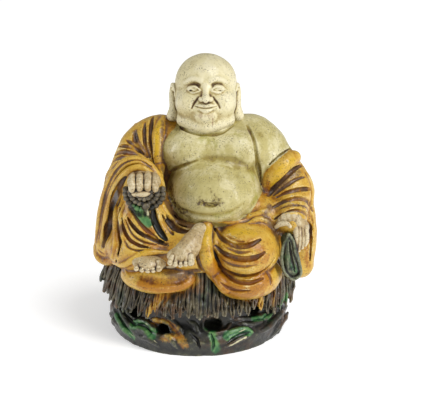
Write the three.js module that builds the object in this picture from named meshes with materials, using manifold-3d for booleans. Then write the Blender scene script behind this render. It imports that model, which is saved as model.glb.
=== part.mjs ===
// A seated, pot-bellied monk in glazed terracotta, modelled in one piece of clay with his seat of
// hanging leaves and its pierced round foot. Millimetres, +Z up, the face towards -Y, and the
// origin under the middle of the figure. The clay is built up as a modeller would do it: lumps are
// added and smoothed in, rolls of cloth are laid on, and creases are cut back.

import * as THREE from "three";
import { SimplifyModifier } from "three/addons/modifiers/SimplifyModifier.js";
import { mergeVertices } from "three/addons/utils/BufferGeometryUtils.js";
import { edgeTable, triTable } from "three/addons/objects/MarchingCubes.js";
import Module from "manifold-3d";

const height = 240; // sole of the foot to the crown
const footRadius = 76; // of the round foot where it stands
const seatHeight = 62; // top of the leaves, where the robe begins
const seatMiddle = -1; // the seat stands a little to the left of the board's centre
const seatDepth = 1; // its depth as a share of its width
const clayGrain = 1.5; // spacing of the grid that holds the clay
const triangleBudget = 10200;
const faceMiddle = new THREE.Vector3(3.6, -24, 210);
const faceSpan = 24; // radius round the face that is magnified
const faceWeight = 3.2; // how much it is magnified
const backWeight = 0.45; // how much the depth of the back is flattened
const far = 40; // the clay's distance value away from all shapes
const reach = 130; // half the depth that sightlines are followed through
const nearMiss = 4; // a sightline that passes this near the clay still counts as met

// The figure is drawn on an upright board through its axis, as seen by an eye in front of it and
// above it: x to the right and h up from the board's centre.
const eyeDistance = 988;
const eyeElevation = THREE.MathUtils.degToRad(17);
const boardCentre = new THREE.Vector3(0, 0, 120.8);
const boardUp = new THREE.Vector3(0, Math.sin(eyeElevation), Math.cos(eyeElevation));
const eye = new THREE.Vector3(0, -Math.cos(eyeElevation), Math.sin(eyeElevation))
  .multiplyScalar(eyeDistance)
  .add(boardCentre);

function sightline(x, h) {
  const onBoard = boardCentre.clone().addScaledVector(boardUp, h);
  onBoard.x += x;
  return new THREE.Ray(eye, onBoard.sub(eye).normalize());
}

// The point at depth y that is seen at (x, h) on the board.
function seen(x, h, y) {
  const ray = sightline(x, h);
  return ray.at((y - eye.y) / ray.direction.y, new THREE.Vector3());
}

const point = (x, y, z) => new THREE.Vector3(x, y, z);
const mix = THREE.MathUtils.lerp;
const clamp = THREE.MathUtils.clamp;

// An ellipsoid, turned by degrees about X, then Y, then Z.
function egg(centre, radii, turn = [0, 0, 0]) {
  const [rx, ry, rz] = radii;
  const euler = new THREE.Euler(...turn.map(THREE.MathUtils.degToRad), "ZYX");
  const m = new THREE.Matrix4().makeRotationFromEuler(euler).elements;
  const half = [0, 1, 2].map((i) => Math.hypot(m[i] * rx, m[i + 4] * ry, m[i + 8] * rz));
  return {
    box: new THREE.Box3().setFromCenterAndSize(centre, point(...half).multiplyScalar(2)),
    distance(x, y, z) {
      const dx = x - centre.x;
      const dy = y - centre.y;
      const dz = z - centre.z;
      const a = (m[0] * dx + m[1] * dy + m[2] * dz) / rx;
      const b = (m[4] * dx + m[5] * dy + m[6] * dz) / ry;
      const c = (m[8] * dx + m[9] * dy + m[10] * dz) / rz;
      const near = Math.hypot(a, b, c);
      const slope = Math.hypot(a / rx, b / ry, c / rz);
      return slope === 0 ? -Math.min(rx, ry, rz) : (near * (near - 1)) / slope;
    },
  };
}

// A straight limb with round ends. flat squeezes its section along one direction.
function limb(from, to, fromRadius, toRadius, flat = { along: point(0, 1, 0), share: 1 }) {
  const n = flat.along;
  const stretch = 1 / flat.share - 1;
  const squeeze = (v) => v.clone().addScaledVector(n, stretch * v.dot(n));
  const axis = squeeze(to.clone().sub(from));
  const lengthSquared = Math.max(axis.lengthSq(), 1e-9);
  const most = Math.max(fromRadius, toRadius);
  return {
    box: new THREE.Box3().setFromPoints([from, to]).expandByScalar(most),
    distance(x, y, z) {
      let dx = x - from.x;
      let dy = y - from.y;
      let dz = z - from.z;
      const push = stretch * (dx * n.x + dy * n.y + dz * n.z);
      dx += push * n.x;
      dy += push * n.y;
      dz += push * n.z;
      const t = clamp((dx * axis.x + dy * axis.y + dz * axis.z) / lengthSquared, 0, 1);
      const gap = Math.hypot(dx - t * axis.x, dy - t * axis.y, dz - t * axis.z);
      return (gap - mix(fromRadius, toRadius, t)) * Math.min(1, 0.5 + 0.5 * flat.share);
    },
  };
}

// A roll of clay along a smooth curve, its radius running through the radii that are given.
function roll(points, radii, flat) {
  if (points.length < 2) return { parts: [] };
  const curve = new THREE.CatmullRomCurve3(points, false, "centripetal");
  const steps = Math.max(4, Math.ceil(curve.getLength() / 3.5));
  const radiusAt = (t) => {
    const place = t * (radii.length - 1);
    const i = Math.min(Math.floor(place), radii.length - 2);
    return mix(radii[i], radii[i + 1], place - i);
  };
  const parts = [];
  for (let i = 0; i < steps; i++) {
    const [t0, t1] = [i / steps, (i + 1) / steps];
    parts.push(limb(curve.getPoint(t0), curve.getPoint(t1), radiusAt(t0), radiusAt(t1), flat));
  }
  return { parts };
}

// A round solid about the Z axis whose radius follows (z, radius) pairs from its foot to its top.
function turned(profile, depthShare) {
  const heights = profile.map(([z]) => z);
  const [low, high] = [heights[0], heights.at(-1)];
  const most = Math.max(...profile.map(([, radius]) => radius));
  const radiusAt = (z) => {
    const i = clamp(heights.findIndex((top) => top > z) - 1, 0, profile.length - 2);
    const above = z >= high ? profile.length - 2 : i;
    const [[z0, r0], [z1, r1]] = [profile[above], profile[above + 1]];
    return mix(r0, r1, THREE.MathUtils.smoothstep(z, z0, z1));
  };
  return {
    box: new THREE.Box3(point(-most, -most, low), point(most, most, high)).translate(point(seatMiddle, 0, 0)),
    distance(x, y, z) {
      const side = (Math.hypot(x - seatMiddle, y / depthShare) - radiusAt(z)) * 0.85;
      return Math.max(side, low - z, z - high);
    },
  };
}

// Places a few millimetres apart on a smooth curve.
function evenly(points) {
  const curve = new THREE.CatmullRomCurve3(points, false, "centripetal");
  return curve.getSpacedPoints(Math.ceil(curve.getLength() / 3));
}

// The least of two distances, rounded over where they differ by less than blend.
function softMin(a, b, blend) {
  const overlap = Math.max(blend - Math.abs(a - b), 0);
  return Math.min(a, b) - (overlap * overlap) / (4 * Math.max(blend, 1e-6));
}

// The clay: a grid of distances to its surface, negative inside.
class Clay {
  constructor(box, grain) {
    this.low = box.min;
    this.grain = grain;
    this.count = box.getSize(point()).divideScalar(grain).ceil().addScalar(1);
    this.value = new Float32Array(this.count.x * this.count.y * this.count.z).fill(far);
    this.shape = this.value.slice();
  }

  index(i, j, k) {
    return (k * this.count.y + j) * this.count.x + i;
  }

  eachPoint(box, reach, visit) {
    const first = box.min.clone().subScalar(reach).sub(this.low).divideScalar(this.grain).ceil();
    const last = box.max.clone().addScalar(reach).sub(this.low).divideScalar(this.grain).floor();
    first.max(point());
    last.min(this.count.clone().subScalar(1));
    for (let k = first.z; k <= last.z; k++)
      for (let j = first.y; j <= last.y; j++)
        for (let i = first.x; i <= last.x; i++) visit(this.index(i, j, k), i, j, k);
  }

  change(shape, reach, change) {
    const parts = shape.parts ?? [shape];
    const whole = new THREE.Box3();
    for (const { box, distance } of parts) {
      whole.union(box);
      this.eachPoint(box, reach, (n, i, j, k) => {
        const x = this.low.x + i * this.grain;
        const y = this.low.y + j * this.grain;
        const z = this.low.z + k * this.grain;
        this.shape[n] = Math.min(this.shape[n], distance(x, y, z));
      });
    }
    this.eachPoint(whole, reach, (n) => {
      if (this.shape[n] < far) this.value[n] = change(this.value[n], this.shape[n]);
      this.shape[n] = far;
    });
  }

  add(shape, blend = 2) {
    this.change(shape, blend + 4, (clay, lump) => softMin(clay, lump, blend));
  }

  cut(shape, blend = 1) {
    this.change(shape, blend + 4, (clay, tool) => -softMin(-clay, tool, blend));
  }

  at(p) {
    const [x, y, z] = ["x", "y", "z"].map((axis) =>
      clamp((p[axis] - this.low[axis]) / this.grain, 0, this.count[axis] - 1.001),
    );
    const [i, j, k] = [x, y, z].map(Math.floor);
    const [a, b, c] = [x - i, y - j, z - k];
    const row = (dj, dk) => {
      const n = this.index(i, j + dj, k + dk);
      return mix(this.value[n], this.value[n + 1], a);
    };
    return mix(mix(row(0, 0), row(1, 0), b), mix(row(0, 1), row(1, 1), b), c);
  }

  // Where along a ray the surface is met, or where the ray all but touches it.
  meet(ray, from, to) {
    const p = point();
    let depth = null;
    let least = nearMiss;
    for (let t = from; t < to && least > 0; t += this.grain / 3) {
      const gap = this.at(ray.at(t, p));
      if (gap < least) [depth, least] = [t, gap];
    }
    return { ray, depth };
  }

  // A curve laid on the surface along a fan of rays, evened out, and pushed in by some depth.
  drawn(rays, from, to, sink) {
    const hits = rays.map((ray) => this.meet(ray, from, to)).filter(({ depth }) => depth !== null);
    const depthAt = (i) => hits[clamp(i, 0, hits.length - 1)].depth;
    return hits.map(({ ray, depth }, i) => {
      const even = (depthAt(i - 2) + 2 * depthAt(i - 1) + 3 * depth + 2 * depthAt(i + 1) + depthAt(i + 2)) / 9;
      return ray.at(even + sink, point());
    });
  }

  // A curve of the surface as it is seen through places on the board.
  laid(places, sink = 0) {
    const rays = evenly(places.map(([x, h]) => point(x, h, 0))).map(({ x, y }) => sightline(x, y));
    return this.drawn(rays, eyeDistance - reach, eyeDistance + reach, sink);
  }

  // A curve of the surface as it is met from one side, through places well outside the clay.
  met(places, direction, sink = 0) {
    const rays = evenly(places).map((p) => new THREE.Ray(p, direction));
    return this.drawn(rays, 0, 2 * reach, sink);
  }
}

// Curves between a first and a last one with the same number of places.
function fan(first, last, count) {
  return Array.from({ length: count }, (_, i) => {
    const share = count === 1 ? 0 : i / (count - 1);
    return first.map(([x, h], j) => [mix(x, last[j][0], share), mix(h, last[j][1], share)]);
  });
}

// Rolls of cloth laid along curves, which stand proud of the clay and fade out at both ends.
function addFolds(clay, curves, radius, height = radius, blend = 1.5) {
  const laid = curves.map((curve) => clay.laid(curve, radius - height));
  for (const points of laid)
    clay.add(roll(points, [radius * 0.4, radius, radius, radius, radius * 0.4]), blend);
}

// Creases pressed into the clay to some depth, which fade out at both ends.
function cutCreases(clay, curves, radius, depth = radius, blend = 1.2) {
  const laid = curves.map((curve) => clay.laid(curve, depth - radius));
  for (const points of laid)
    clay.cut(roll(points, [radius * 0.4, radius, radius, radius, radius * 0.4]), blend);
}

// A roll along places that are given on the board with their depth.
const hung = (places, radii) => roll(places.map(([x, h, y]) => seen(x, h, y)), radii);

// A place on the seat's side: an angle in degrees from the front, a radius and a height.
function around(angle, radius, z) {
  const a = THREE.MathUtils.degToRad(angle);
  return point(seatMiddle + Math.sin(a) * radius, -Math.cos(a) * radius * seatDepth, z);
}

const inward = (angle) => around(angle, -1, 0).setX(-Math.sin(THREE.MathUtils.degToRad(angle)));

function modelFoot(clay) {
  const profile = [
    [-6, footRadius - 2],
    [3, footRadius],
    [12, footRadius + 2],
    [26, footRadius - 9],
    [42, footRadius - 4],
    [seatHeight, footRadius - 4],
  ];
  clay.add(turned(profile, seatDepth), 1);
  // scrolls of rock and water round the foot
  const outside = (angle, z) => clay.met([around(angle, reach, z), around(angle, reach, z + 1)], inward(angle))[0];
  const scrolls = 15;
  for (let i = 0; i < scrolls; i++) {
    const middle = ((i + 0.5) / scrolls) * 360;
    const lean = i % 2 ? 6 : -6;
    for (const [drop, half] of [[0, 11], [7, 8]]) {
      const crest = [-1, -0.4, 0.2, 1].map((s) =>
        outside(middle + s * half, 17 - drop + s * lean - 6 * s * s),
      );
      clay.add(roll(crest, [1, 3, 2.8, 1]), 1.5);
    }
  }
  // vents pressed into the wall: angle, height, half width and half height
  const vents = [
    [10.5, 24.5, 8, 4.6],
    [-25, 19.5, 5, 3],
    [-75, 26, 5, 4],
    [75, 27, 5, 4],
    [-128, 27, 6, 4],
    [128, 27, 6, 4],
    [180, 28, 7, 4.5],
  ];
  for (const [angle, z, wide, high] of vents)
    clay.cut(egg(around(angle, footRadius - 6, z), [wide, 13, high], [0, 0, angle]), 1.5);
}

function modelLeaves(clay) {
  const blades = 36;
  const lean = 3; // the skirt of leaves sits to the left of the foot
  const rows = [
    { shift: 0.5, radius: 73, z: 50, thick: 4, first: -10 },
    { shift: 0, radius: 78, z: 52, thick: 4.6, first: -18 },
  ];
  for (const { shift, radius, z, thick, first } of rows)
    for (let i = first; i < first + blades && i <= -first; i++) {
      const angle = ((i + shift) / blades) * 360;
      const wave = Math.sin(i * 2.4);
      const slant = 8 * Math.sin(i * 1.7) - 6 * Math.sin(THREE.MathUtils.degToRad(angle));
      const centre = around(angle, radius + wave, z - 2.5 * wave);
      centre.x -= lean;
      clay.add(egg(centre, [5.6, thick, 17], [-14, slant, angle]), 0.8);
    }
}

function modelHips(clay) {
  clay.add(egg(point(2, 2, 82), [78, 60, 30]), 4);
  clay.add(egg(point(2, 12, 112), [72, 42, 60]), 10);
  clay.add(egg(seen(-6, -46, -40), [44, 36, 24]), 8);
  // the knee that is folded out to the right, and the robe that hangs below it
  clay.add(egg(seen(37, -72, -50), [31, 33, 19]), 5);
  clay.add(egg(seen(38.5, -49, -52), [28.5, 33, 24]), 2);
  // the knee under the hanging sleeve, and the cloth between it and the raised hand
  clay.add(egg(seen(-48, -46, -38), [34, 36, 24]), 8);
  clay.add(egg(seen(-50, -24, -38), [26, 26, 32]), 8);
  // the robe that is gathered at the waist
  clay.add(egg(seen(52, -22, -32), [20, 22, 20]), 8);
  // the flap of robe under the feet
  clay.add(egg(seen(-35, -74, -58), [35, 27, 14]), 2);
}

function modelTrunk(clay) {
  clay.add(egg(point(7, 2, 158), [42, 36, 32]), 6);
  clay.add(egg(seen(-9, 36, -22), [22, 18, 17]), 10);
  clay.add(egg(seen(28, 36, -22), [24, 18, 18]), 10);
  clay.add(egg(seen(11.5, 1, -24), [39, 42, 31]), 7);
  // the fold over the belly, the one below the neck, and the navel
  cutCreases(clay, [[[-29, 17], [-21, 21], [-12, 24.5], [1, 27]]], 2, 1);
  cutCreases(clay, [[[-18, 57], [-8, 51], [5, 49], [18, 51], [27, 57]]], 2, 1);
  cutCreases(clay, [[[2, -11.5], [8, -12.5], [14, -11.5]]], 2.6, 2);
}

function modelArms(clay) {
  // the bare shoulder and the arm that comes down to the knee
  clay.add(egg(point(40, 2, 160), [26.5, 26, 27]), 8);
  clay.add(limb(point(51, 0, 151), point(73, -10, 124), 23, 21), 8);
  clay.add(limb(point(74, -10, 124), seen(78, -24, -46), 20, 13), 6);
  // its sleeve, which hangs outside the knee
  clay.add(roll([point(76, -10, 116), point(84, -16, 90), point(85, -22, 62)], [19, 15, 12]), 6);
  // the robed shoulder, and the forearm raised to the front
  clay.add(egg(point(-35, 2, 161), [28, 27, 27.5]), 8);
  clay.add(limb(point(-46, 0, 152), point(-67, -12, 130), 24, 20), 8);
  clay.add(limb(point(-67, -12, 132), seen(-51, 6, -44), 20, 18), 6);
  // its wide sleeve, which hangs down to the seat
  const hang = [point(-68, -14, 124), point(-73, -20, 100), seen(-78, -46, -28)];
  clay.add(roll(hang, [18, 17, 14]), 6);
  // the crease in front of the armpit
  cutCreases(clay, [[[41, 58], [46, 44], [47.5, 30], [50, 18], [52, 6]]], 2.6, 3);
}

function drapeSleeve(clay) {
  // the lapel beside the chest, and the grooves from the shoulder to the crook of the arm
  addFolds(clay, [[[-33, 65], [-36.5, 52], [-38, 38], [-37.5, 26], [-35, 14]]], 5.5, 4);
  const grooves = [
    [[-41.5, 65], [-43, 50], [-43, 38], [-40.5, 25]],
    [[-49, 59], [-49, 47], [-47.5, 37], [-43.5, 28]],
    [[-59, 54], [-57.5, 46], [-53, 38], [-47, 30.5]],
    [[-72, 40], [-64, 39], [-57, 35.5], [-50, 30.5]],
    [[-80, 30], [-70, 35], [-61, 34], [-53, 31]],
  ];
  cutCreases(clay, grooves, 2.6, 3.4);
  // the sleeve's wide mouth, an outer and an inner fold that arch over the fist
  const outer = [
    [-89, -50, -27],
    [-87, -25, -32],
    [-82.5, -2, -38],
    [-75, 15, -42],
    [-66, 25.5, -44],
    [-55, 27.5, -45],
    [-43.5, 21, -47],
    [-36, 9, -50],
    [-33.5, -4, -50],
  ];
  const inner = [
    [-86, -52, -34],
    [-83, -27, -38],
    [-78.5, -6, -44],
    [-72, 8.5, -48],
    [-63.5, 18, -51],
    [-54, 21, -52],
    [-44.5, 16.5, -53],
    [-38, 6.5, -54],
    [-36, -5, -54],
  ];
  clay.add(hung(outer, [4, 4.6, 4.6, 4, 3]), 2.5);
  clay.add(hung(inner, [3.4, 3.6, 3.6, 3.2, 2.4]), 1.5);
  // the hollow inside the mouth, and the folds that hang in it
  const hollow = [
    [-66, 13, -54],
    [-71.5, 4, -51],
    [-75.5, -8, -47],
    [-78, -22, -42],
    [-81, -34, -38],
    [-85, -46, -33],
  ];
  clay.cut(hung(hollow, [2, 3.2, 3.6, 3.6, 2.4]), 1.2);
  addFolds(clay, [[[-70, -2], [-74, -14], [-75, -28], [-75, -42], [-78, -56]]], 3, 2.6);
  cutCreases(clay, [[[-71, -14], [-71.5, -30], [-70, -44], [-72, -55], [-76, -62]]], 2.4, 4);
  clay.add(hung([[-90, -48, -28], [-89.5, -55, -31], [-84, -60, -36], [-77, -59, -44]], [4, 4, 3.6, 3]), 2);
}

function drapeLap(clay) {
  // grooves that flow from under the raised hand to the feet: places, radius and depth
  const main = [[-66, -16], [-60, -28], [-53, -36], [-44, -41.5], [-33, -45.5], [-25, -48.5]];
  const dark = [[-43, -12], [-40.5, -24], [-36.5, -34], [-30, -43]];
  const hollow = [[-33, -17], [-28, -26], [-21, -33.5], [-14, -36], [-8, -34]];
  const outward = [[-69, -20], [-67, -33], [-62, -42], [-54, -47]];
  const inner = [[-66, -22], [-61, -34], [-52, -44], [-30, -49]];
  cutCreases(clay, [main, dark], 2.8, 3.6);
  cutCreases(clay, [outward, inner], 2, 2.4);
  cutCreases(clay, [[[-37, -16], [-32, -26], [-27, -34], [-23, -41]]], 1.8, 2.2);
  cutCreases(clay, [hollow], 3.4, 6);
  // the hem over the far foot and the edge of the robe under the belly
  addFolds(clay, [[[-76, -61], [-68, -62], [-60, -58.5], [-52, -54.5], [-44, -52.8], [-28, -52]]], 3, 2.8);
  addFolds(clay, [[[-33, -13], [-28, -21], [-20, -27], [-10, -29], [2, -28]]], 2, 2);
  addFolds(clay, [[[38, -24], [45, -21], [51, -20], [58, -15]]], 2.2, 2);
  addFolds(clay, [[[41, -27], [50, -24], [57, -25.5], [62, -31]]], 2.4, 2.2);
  // the band of robe that hangs over the ankle, set off from the leg
  addFolds(clay, [[[5, -29], [3.5, -44], [4.5, -57], [9, -67], [15, -76], [20, -84]]], 6.5, 5);
  cutCreases(clay, [[[-3, -31], [-4, -45], [-3, -58], [1, -68], [8, -74]]], 2.2, 2.6);
  // smile-shaped creases round the knee and below it
  const creases = [
    [[15, -38], [20, -43], [28, -47.5], [36, -49], [47, -45]],
    [[13, -47], [19, -54], [27, -58], [36, -60], [49, -57]],
    [[19, -71], [26, -76], [34, -79.5], [42, -80], [50, -77]],
    [[17, -80], [24, -85.5], [32, -88], [41, -87]],
  ];
  const edge = [[11, -33], [9.8, -45], [12, -56], [18, -65.5], [29, -71], [42, -72], [54, -68], [63, -58]];
  cutCreases(clay, creases, 2.5, 3.2);
  cutCreases(clay, [edge], 2.6, 3.6);
}

function drapeArm(clay) {
  // the rolled edge of the sleeve round the bare arm, and the grooves below it
  clay.add(hung([[56, 2, -27], [61, 12, -27], [69, 21, -22], [79, 29, -14]], [4, 6, 6.6, 5]), 3);
  const grooves = [
    [[57, -5], [64, 3], [71, 10], [79, 18], [88, 23]],
    [[67, -4.5], [76, -1], [86, 1.5], [96, 2]],
    [[60, -16], [67, -11.5], [76, -8], [86, -6.7], [93, -9.5], [97, -17]],
    [[63, -24.5], [71, -20.5], [80, -17.3], [88, -18.5], [92.5, -25], [94.5, -38], [95, -58]],
  ];
  cutCreases(clay, grooves, 2.5, 3.4);
  cutCreases(clay, [[[55, 18], [62, 26], [70, 32.5], [80, 38]]], 1.6, 1.8);
}

// The robe behind and at the sides: its edge runs from the robed shoulder to the bare arm.
function drapeBack(clay) {
  const fromBehind = point(0, -1, 0);
  const across = (lift, sag) => {
    const xs = [-56, -28, 2, 34, 66];
    const places = xs.map((x, i) => point(x, reach, 176 - lift - 9 * i - sag * Math.sin((i * Math.PI) / 4)));
    return clay.met(places, fromBehind);
  };
  const hem = across(0, 2);
  const grooves = [1, 2, 3, 4, 5].map((i) => across(16 * i, 4 + 3 * i));
  for (const side of [-1, 1])
    for (let i = 0; i < 4; i++) {
      const [y, top] = [20 - 11 * i, 158 - 4 * i];
      const places = [point(0, y, top), point(0, y - 6, 120), point(0, y - 4 - 3 * i, 84)];
      grooves.push(clay.met(places.map((p) => p.setX(side * reach)), point(-side, 0, 0)));
    }
  clay.add(roll(hem, [3, 4, 4, 3]), 2);
  for (const points of grooves) clay.cut(roll(points, [1, 2.6, 2.8, 2.6, 1]), 1.5);
}

function modelHead(clay) {
  // the head is thrown back a little: places in its own frame are turned about its middle
  const middle = point(3.6, 0, 212);
  const tilt = THREE.MathUtils.degToRad(-13);
  const turned = (x, y, z) => point(x, y, z).applyAxisAngle(point(1, 0, 0), tilt);
  const inHead = (x, y, z) => turned(x, y, z).add(middle);
  const on = (x, z, proud = 0) => {
    const places = [0, 1].map((step) => inHead(x, -reach, z + step / 10));
    return clay.met(places, turned(0, 1, 0), -proud)[0];
  };
  clay.add(limb(point(4, -1, 172), point(4, -3, 196), 22, 20), 6);
  clay.add(egg(middle, [25.8, 27, 28]), 4);
  clay.add(egg(inHead(0, -5, -13), [25.2, 23.5, 17]), 6);
  clay.add(hung([[-18, 61, -16], [4, 54, -27], [26, 61, -16]], [3, 4.4, 3]), 5);
  // the features: brow, nose and chin a third of the face apart, eyes at half of the head
  const third = 16;
  const [brow, eyes, chin] = [5, 0, -27];
  const noseBase = brow - third;
  const mouth = noseBase - third / 3;
  const eyeWidth = 10.2;
  const nose = [on(0, brow - 3, -1), on(0, noseBase + 6, 1), on(0, noseBase + 2, 3)];
  const upperLip = [on(-8, mouth + 1), on(-3, mouth + 1.6, 0.8), on(3, mouth + 1.6, 0.8), on(8, mouth + 1)];
  const lowerLip = [on(-6, mouth - 0.6), on(0, mouth - 2.4, 1), on(6, mouth - 0.6)];
  const parting = [on(-8.5, mouth + 1, 0.5), on(0, mouth - 0.5, 2.6), on(8.5, mouth + 1, 0.5)];
  const chinEnd = on(0, chin + 4, -2.5);
  const halves = [-1, 1].map((side) => ({
    side,
    ridge: [on(side * 4, brow + 1.4), on(side * 10, brow + 2.8), on(side * 17, brow)],
    socket: on(side * (eyeWidth + 1), brow - 2.6, 1.6),
    lid: on(side * eyeWidth, eyes - 0.6, -1.6),
    slit: [[-5, -1.8, 0.6], [0, -2.8, 1.4], [5, -1.4, 0.4]].map(([dx, dz, proud]) =>
      on(side * (eyeWidth + dx), eyes + dz, proud),
    ),
    cheek: on(side * 14.5, noseBase, -7),
    wing: on(side * 3.8, noseBase + 1.8, 0.4),
  }));
  clay.add(egg(chinEnd, [8, 5.5, 5]), 4);
  for (const { side, ridge, socket, lid, slit, cheek, wing } of halves) {
    clay.add(egg(cheek, [9, 8.6, 9]), 5);
    clay.cut(egg(socket, [6.4, 2.8, 3]), 3);
    clay.add(roll(ridge, [1, 1.6, 0.8]), 3);
    clay.add(egg(lid, [5.6, 3.2, 3.6]), 1.2);
    clay.cut(roll(slit, [0.5, 0.8, 0.5]), 0.6);
    clay.add(egg(wing, [2.3, 2.6, 2]), 1);
    // the long ears, whose lobes rest on the shoulders
    const x = middle.x + side * 26.4;
    const ear = [[0, -2, 214], [1.4, 2, 210], [1, 0, 203], [1.4, -4, 196], [2.6, -6, 190]];
    const rim = ear.map(([out, y, z]) => point(x + side * out, y, z));
    clay.add(roll(rim, [3, 4, 3.6, 3, 4]), 1.5);
    clay.cut(roll([point(x + side, -4, 211), point(x + side, -6, 203)], [1.8, 1.2]), 1);
  }
  clay.add(roll(nose, [1.8, 2.4, 3.2]), 2);
  clay.add(roll(upperLip, [0.8, 1.5, 0.8]), 1.2);
  clay.add(roll(lowerLip, [0.8, 1.9, 0.8]), 1.2);
  clay.cut(roll(parting, [0.4, 0.6, 0.4]), 0.5);
}

function modelHands(clay) {
  // the raised fist, with its fingers curled over a string of beads
  clay.add(egg(seen(-51, 10, -56), [14.5, 14, 9.5]), 2);
  clay.add(egg(seen(-50, -2, -54), [15.5, 12, 12]), 1.5);
  for (const [i, x] of [-58.5, -52.4, -46.4, -40.8].entries()) {
    const drop = Math.abs(i - 1.5);
    clay.add(limb(seen(x, 9 - drop, -65.5), seen(x, 4 - drop * 0.4, -69.5), 3.5, 3.2), 0.9);
  }
  const beads = 11;
  for (let i = 0; i <= beads; i++) {
    const a = Math.PI * (0.94 + (1.12 * i) / beads);
    const place = seen(-49.8 + 15.8 * Math.cos(a), 1.5 + 14.5 * Math.sin(a), -64);
    clay.add(egg(place, [2.9, 2.9, 2.9]), 0.5);
  }
  clay.add(egg(seen(-48, -10, -67), [3.4, 3.4, 3.4]), 0.6);
  // the hand that hangs over the knee, its thumb over the neck of a green bag
  clay.add(hung([[67, -30, -54], [73, -26, -57], [82, -26, -55], [88, -34, -52]], [3, 4.4, 6, 6.5]), 1.5);
  for (let i = 0; i < 3; i++) {
    const finger = [[87 + 2 * i, -37, -55], [86 + 2.6 * i, -47, -58], [84 + 2.6 * i, -57 + 3 * i, -58]];
    clay.add(hung(finger, [2.6, 2.5, 2]), 0.6);
  }
  clay.add(limb(seen(91, -54, -38), seen(91, -70, -40), 4.5, 5), 2);
  clay.add(limb(seen(75.5, -46, -57), seen(79, -68, -59), 6, 8.5), 1);
  clay.cut(limb(seen(75.5, -47, -64), seen(79, -68, -68), 3.4, 5), 0.8);
  clay.cut(egg(seen(75, -32.5, -58), [3.6, 5, 2.6]), 1);
}

function modelFeet(clay) {
  // the near foot, half under the robe, and the far one under the hem
  const sole = [[-1, -42, -66], [-10, -50, -74], [-18, -56.5, -80]];
  clay.add(hung(sole, [11, 10.5, 8.5]), 3);
  clay.add(egg(seen(-20, -58, -80), [11, 9, 7]), 3);
  clay.add(egg(seen(-46, -61, -72), [13, 13, 7.5], [0, 10, 0]), 3);
  for (let i = 0; i < 5; i++) {
    const bow = (i - 2) * (i - 2) * 0.5;
    const near = [[-25 + 3.6 * i, -58, -85], [-27.5 + 4.3 * i, -64 + bow, -87]];
    const far = [[-54 + 4 * i, -64, -80], [-56.5 + 4.6 * i, -70 + bow, -83]];
    clay.add(hung(near, [2.6, 2.5]), 0.5);
    clay.add(hung(far, [2.6, 2.5]), 0.5);
  }
}

function modelFigure(clay) {
  modelHips(clay);
  modelTrunk(clay);
  modelArms(clay);
  modelHead(clay);
  drapeBack(clay);
  drapeSleeve(clay);
  drapeArm(clay);
  drapeLap(clay);
  modelFeet(clay);
  modelHands(clay);
}

// The surface of the clay, by marching cubes.
function skin(clay) {
  const { count, low, grain, value } = clay;
  const corners = [[0, 0, 0], [1, 0, 0], [1, 1, 0], [0, 1, 0], [0, 0, 1], [1, 0, 1], [1, 1, 1], [0, 1, 1]];
  const edges = [[0, 1], [1, 2], [2, 3], [3, 0], [4, 5], [5, 6], [6, 7], [7, 4], [0, 4], [1, 5], [2, 6], [3, 7]];
  const made = new Map();
  const positions = [];
  const triangles = [];
  const crossing = (a, b) => {
    const [first, second] = a.n < b.n ? [a, b] : [b, a];
    const key = first.n * value.length + second.n;
    if (!made.has(key)) {
      const share = first.value / (first.value - second.value);
      const t = clamp(share, 0.01, 0.99);
      made.set(key, positions.length / 3);
      for (const axis of ["x", "y", "z"])
        positions.push(low[axis] + grain * mix(first[axis], second[axis], t));
    }
    return made.get(key);
  };
  for (let k = 0; k < count.z - 1; k++)
    for (let j = 0; j < count.y - 1; j++)
      for (let i = 0; i < count.x - 1; i++) {
        const cell = corners.map(([a, b, c]) => {
          const n = clay.index(i + a, j + b, k + c);
          return { n, value: value[n], x: i + a, y: j + b, z: k + c };
        });
        const kind = cell.reduce((bits, corner, bit) => bits | (corner.value < 0 ? 1 << bit : 0), 0);
        if (!edgeTable[kind]) continue;
        for (let n = 16 * kind; triTable[n] !== -1; n += 3)
          for (const edge of [triTable[n], triTable[n + 2], triTable[n + 1]]) {
            const [a, b] = edges[edge];
            triangles.push(crossing(cell[a], cell[b]));
          }
      }
  return new THREE.BufferGeometry()
    .setAttribute("position", new THREE.Float32BufferAttribute(positions, 3))
    .setIndex(triangles);
}

const wasm = await Module();
wasm.setup();

function solidOf(geometry) {
  const bare = new THREE.BufferGeometry().setAttribute("position", geometry.getAttribute("position"));
  bare.setIndex(geometry.index);
  const merged = mergeVertices(bare, 1e-4);
  return new wasm.Manifold(
    new wasm.Mesh({
      numProp: 3,
      vertProperties: merged.getAttribute("position").array,
      triVerts: new Uint32Array(merged.index.array),
    }),
  );
}

function geometryOf(solid) {
  const { vertProperties, triVerts } = solid.getMesh();
  const geometry = new THREE.BufferGeometry()
    .setAttribute("position", new THREE.BufferAttribute(vertProperties, 3))
    .setIndex(new THREE.BufferAttribute(triVerts, 1));
  return parted(geometry);
}

// Where two folds only touch at a point, draws each back a little towards its own neighbours.
function parted(geometry) {
  const places = geometry.getAttribute("position");
  const at = (i) => point().fromBufferAttribute(places, i);
  const key = (i) => at(i).toArray().map((v) => v.toFixed(3)).join();
  const shared = new Map();
  for (let i = 0; i < places.count; i++) shared.set(key(i), [...(shared.get(key(i)) ?? []), i]);
  const touching = new Map([...shared.values()].filter((same) => same.length > 1).flat().map((i) => [i, []]));
  const corners = geometry.index.array;
  corners.forEach((i, n) => {
    const next = n % 3 === 2 ? n - 2 : n + 1;
    if (touching.has(i)) touching.get(i).push(at(corners[next]));
  });
  for (const [i, neighbours] of touching) {
    const middle = neighbours.reduce((sum, p) => sum.add(p), point()).divideScalar(neighbours.length);
    places.setXYZ(i, ...at(i).lerp(middle, 0.1).toArray());
  }
  return geometry;
}

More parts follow.
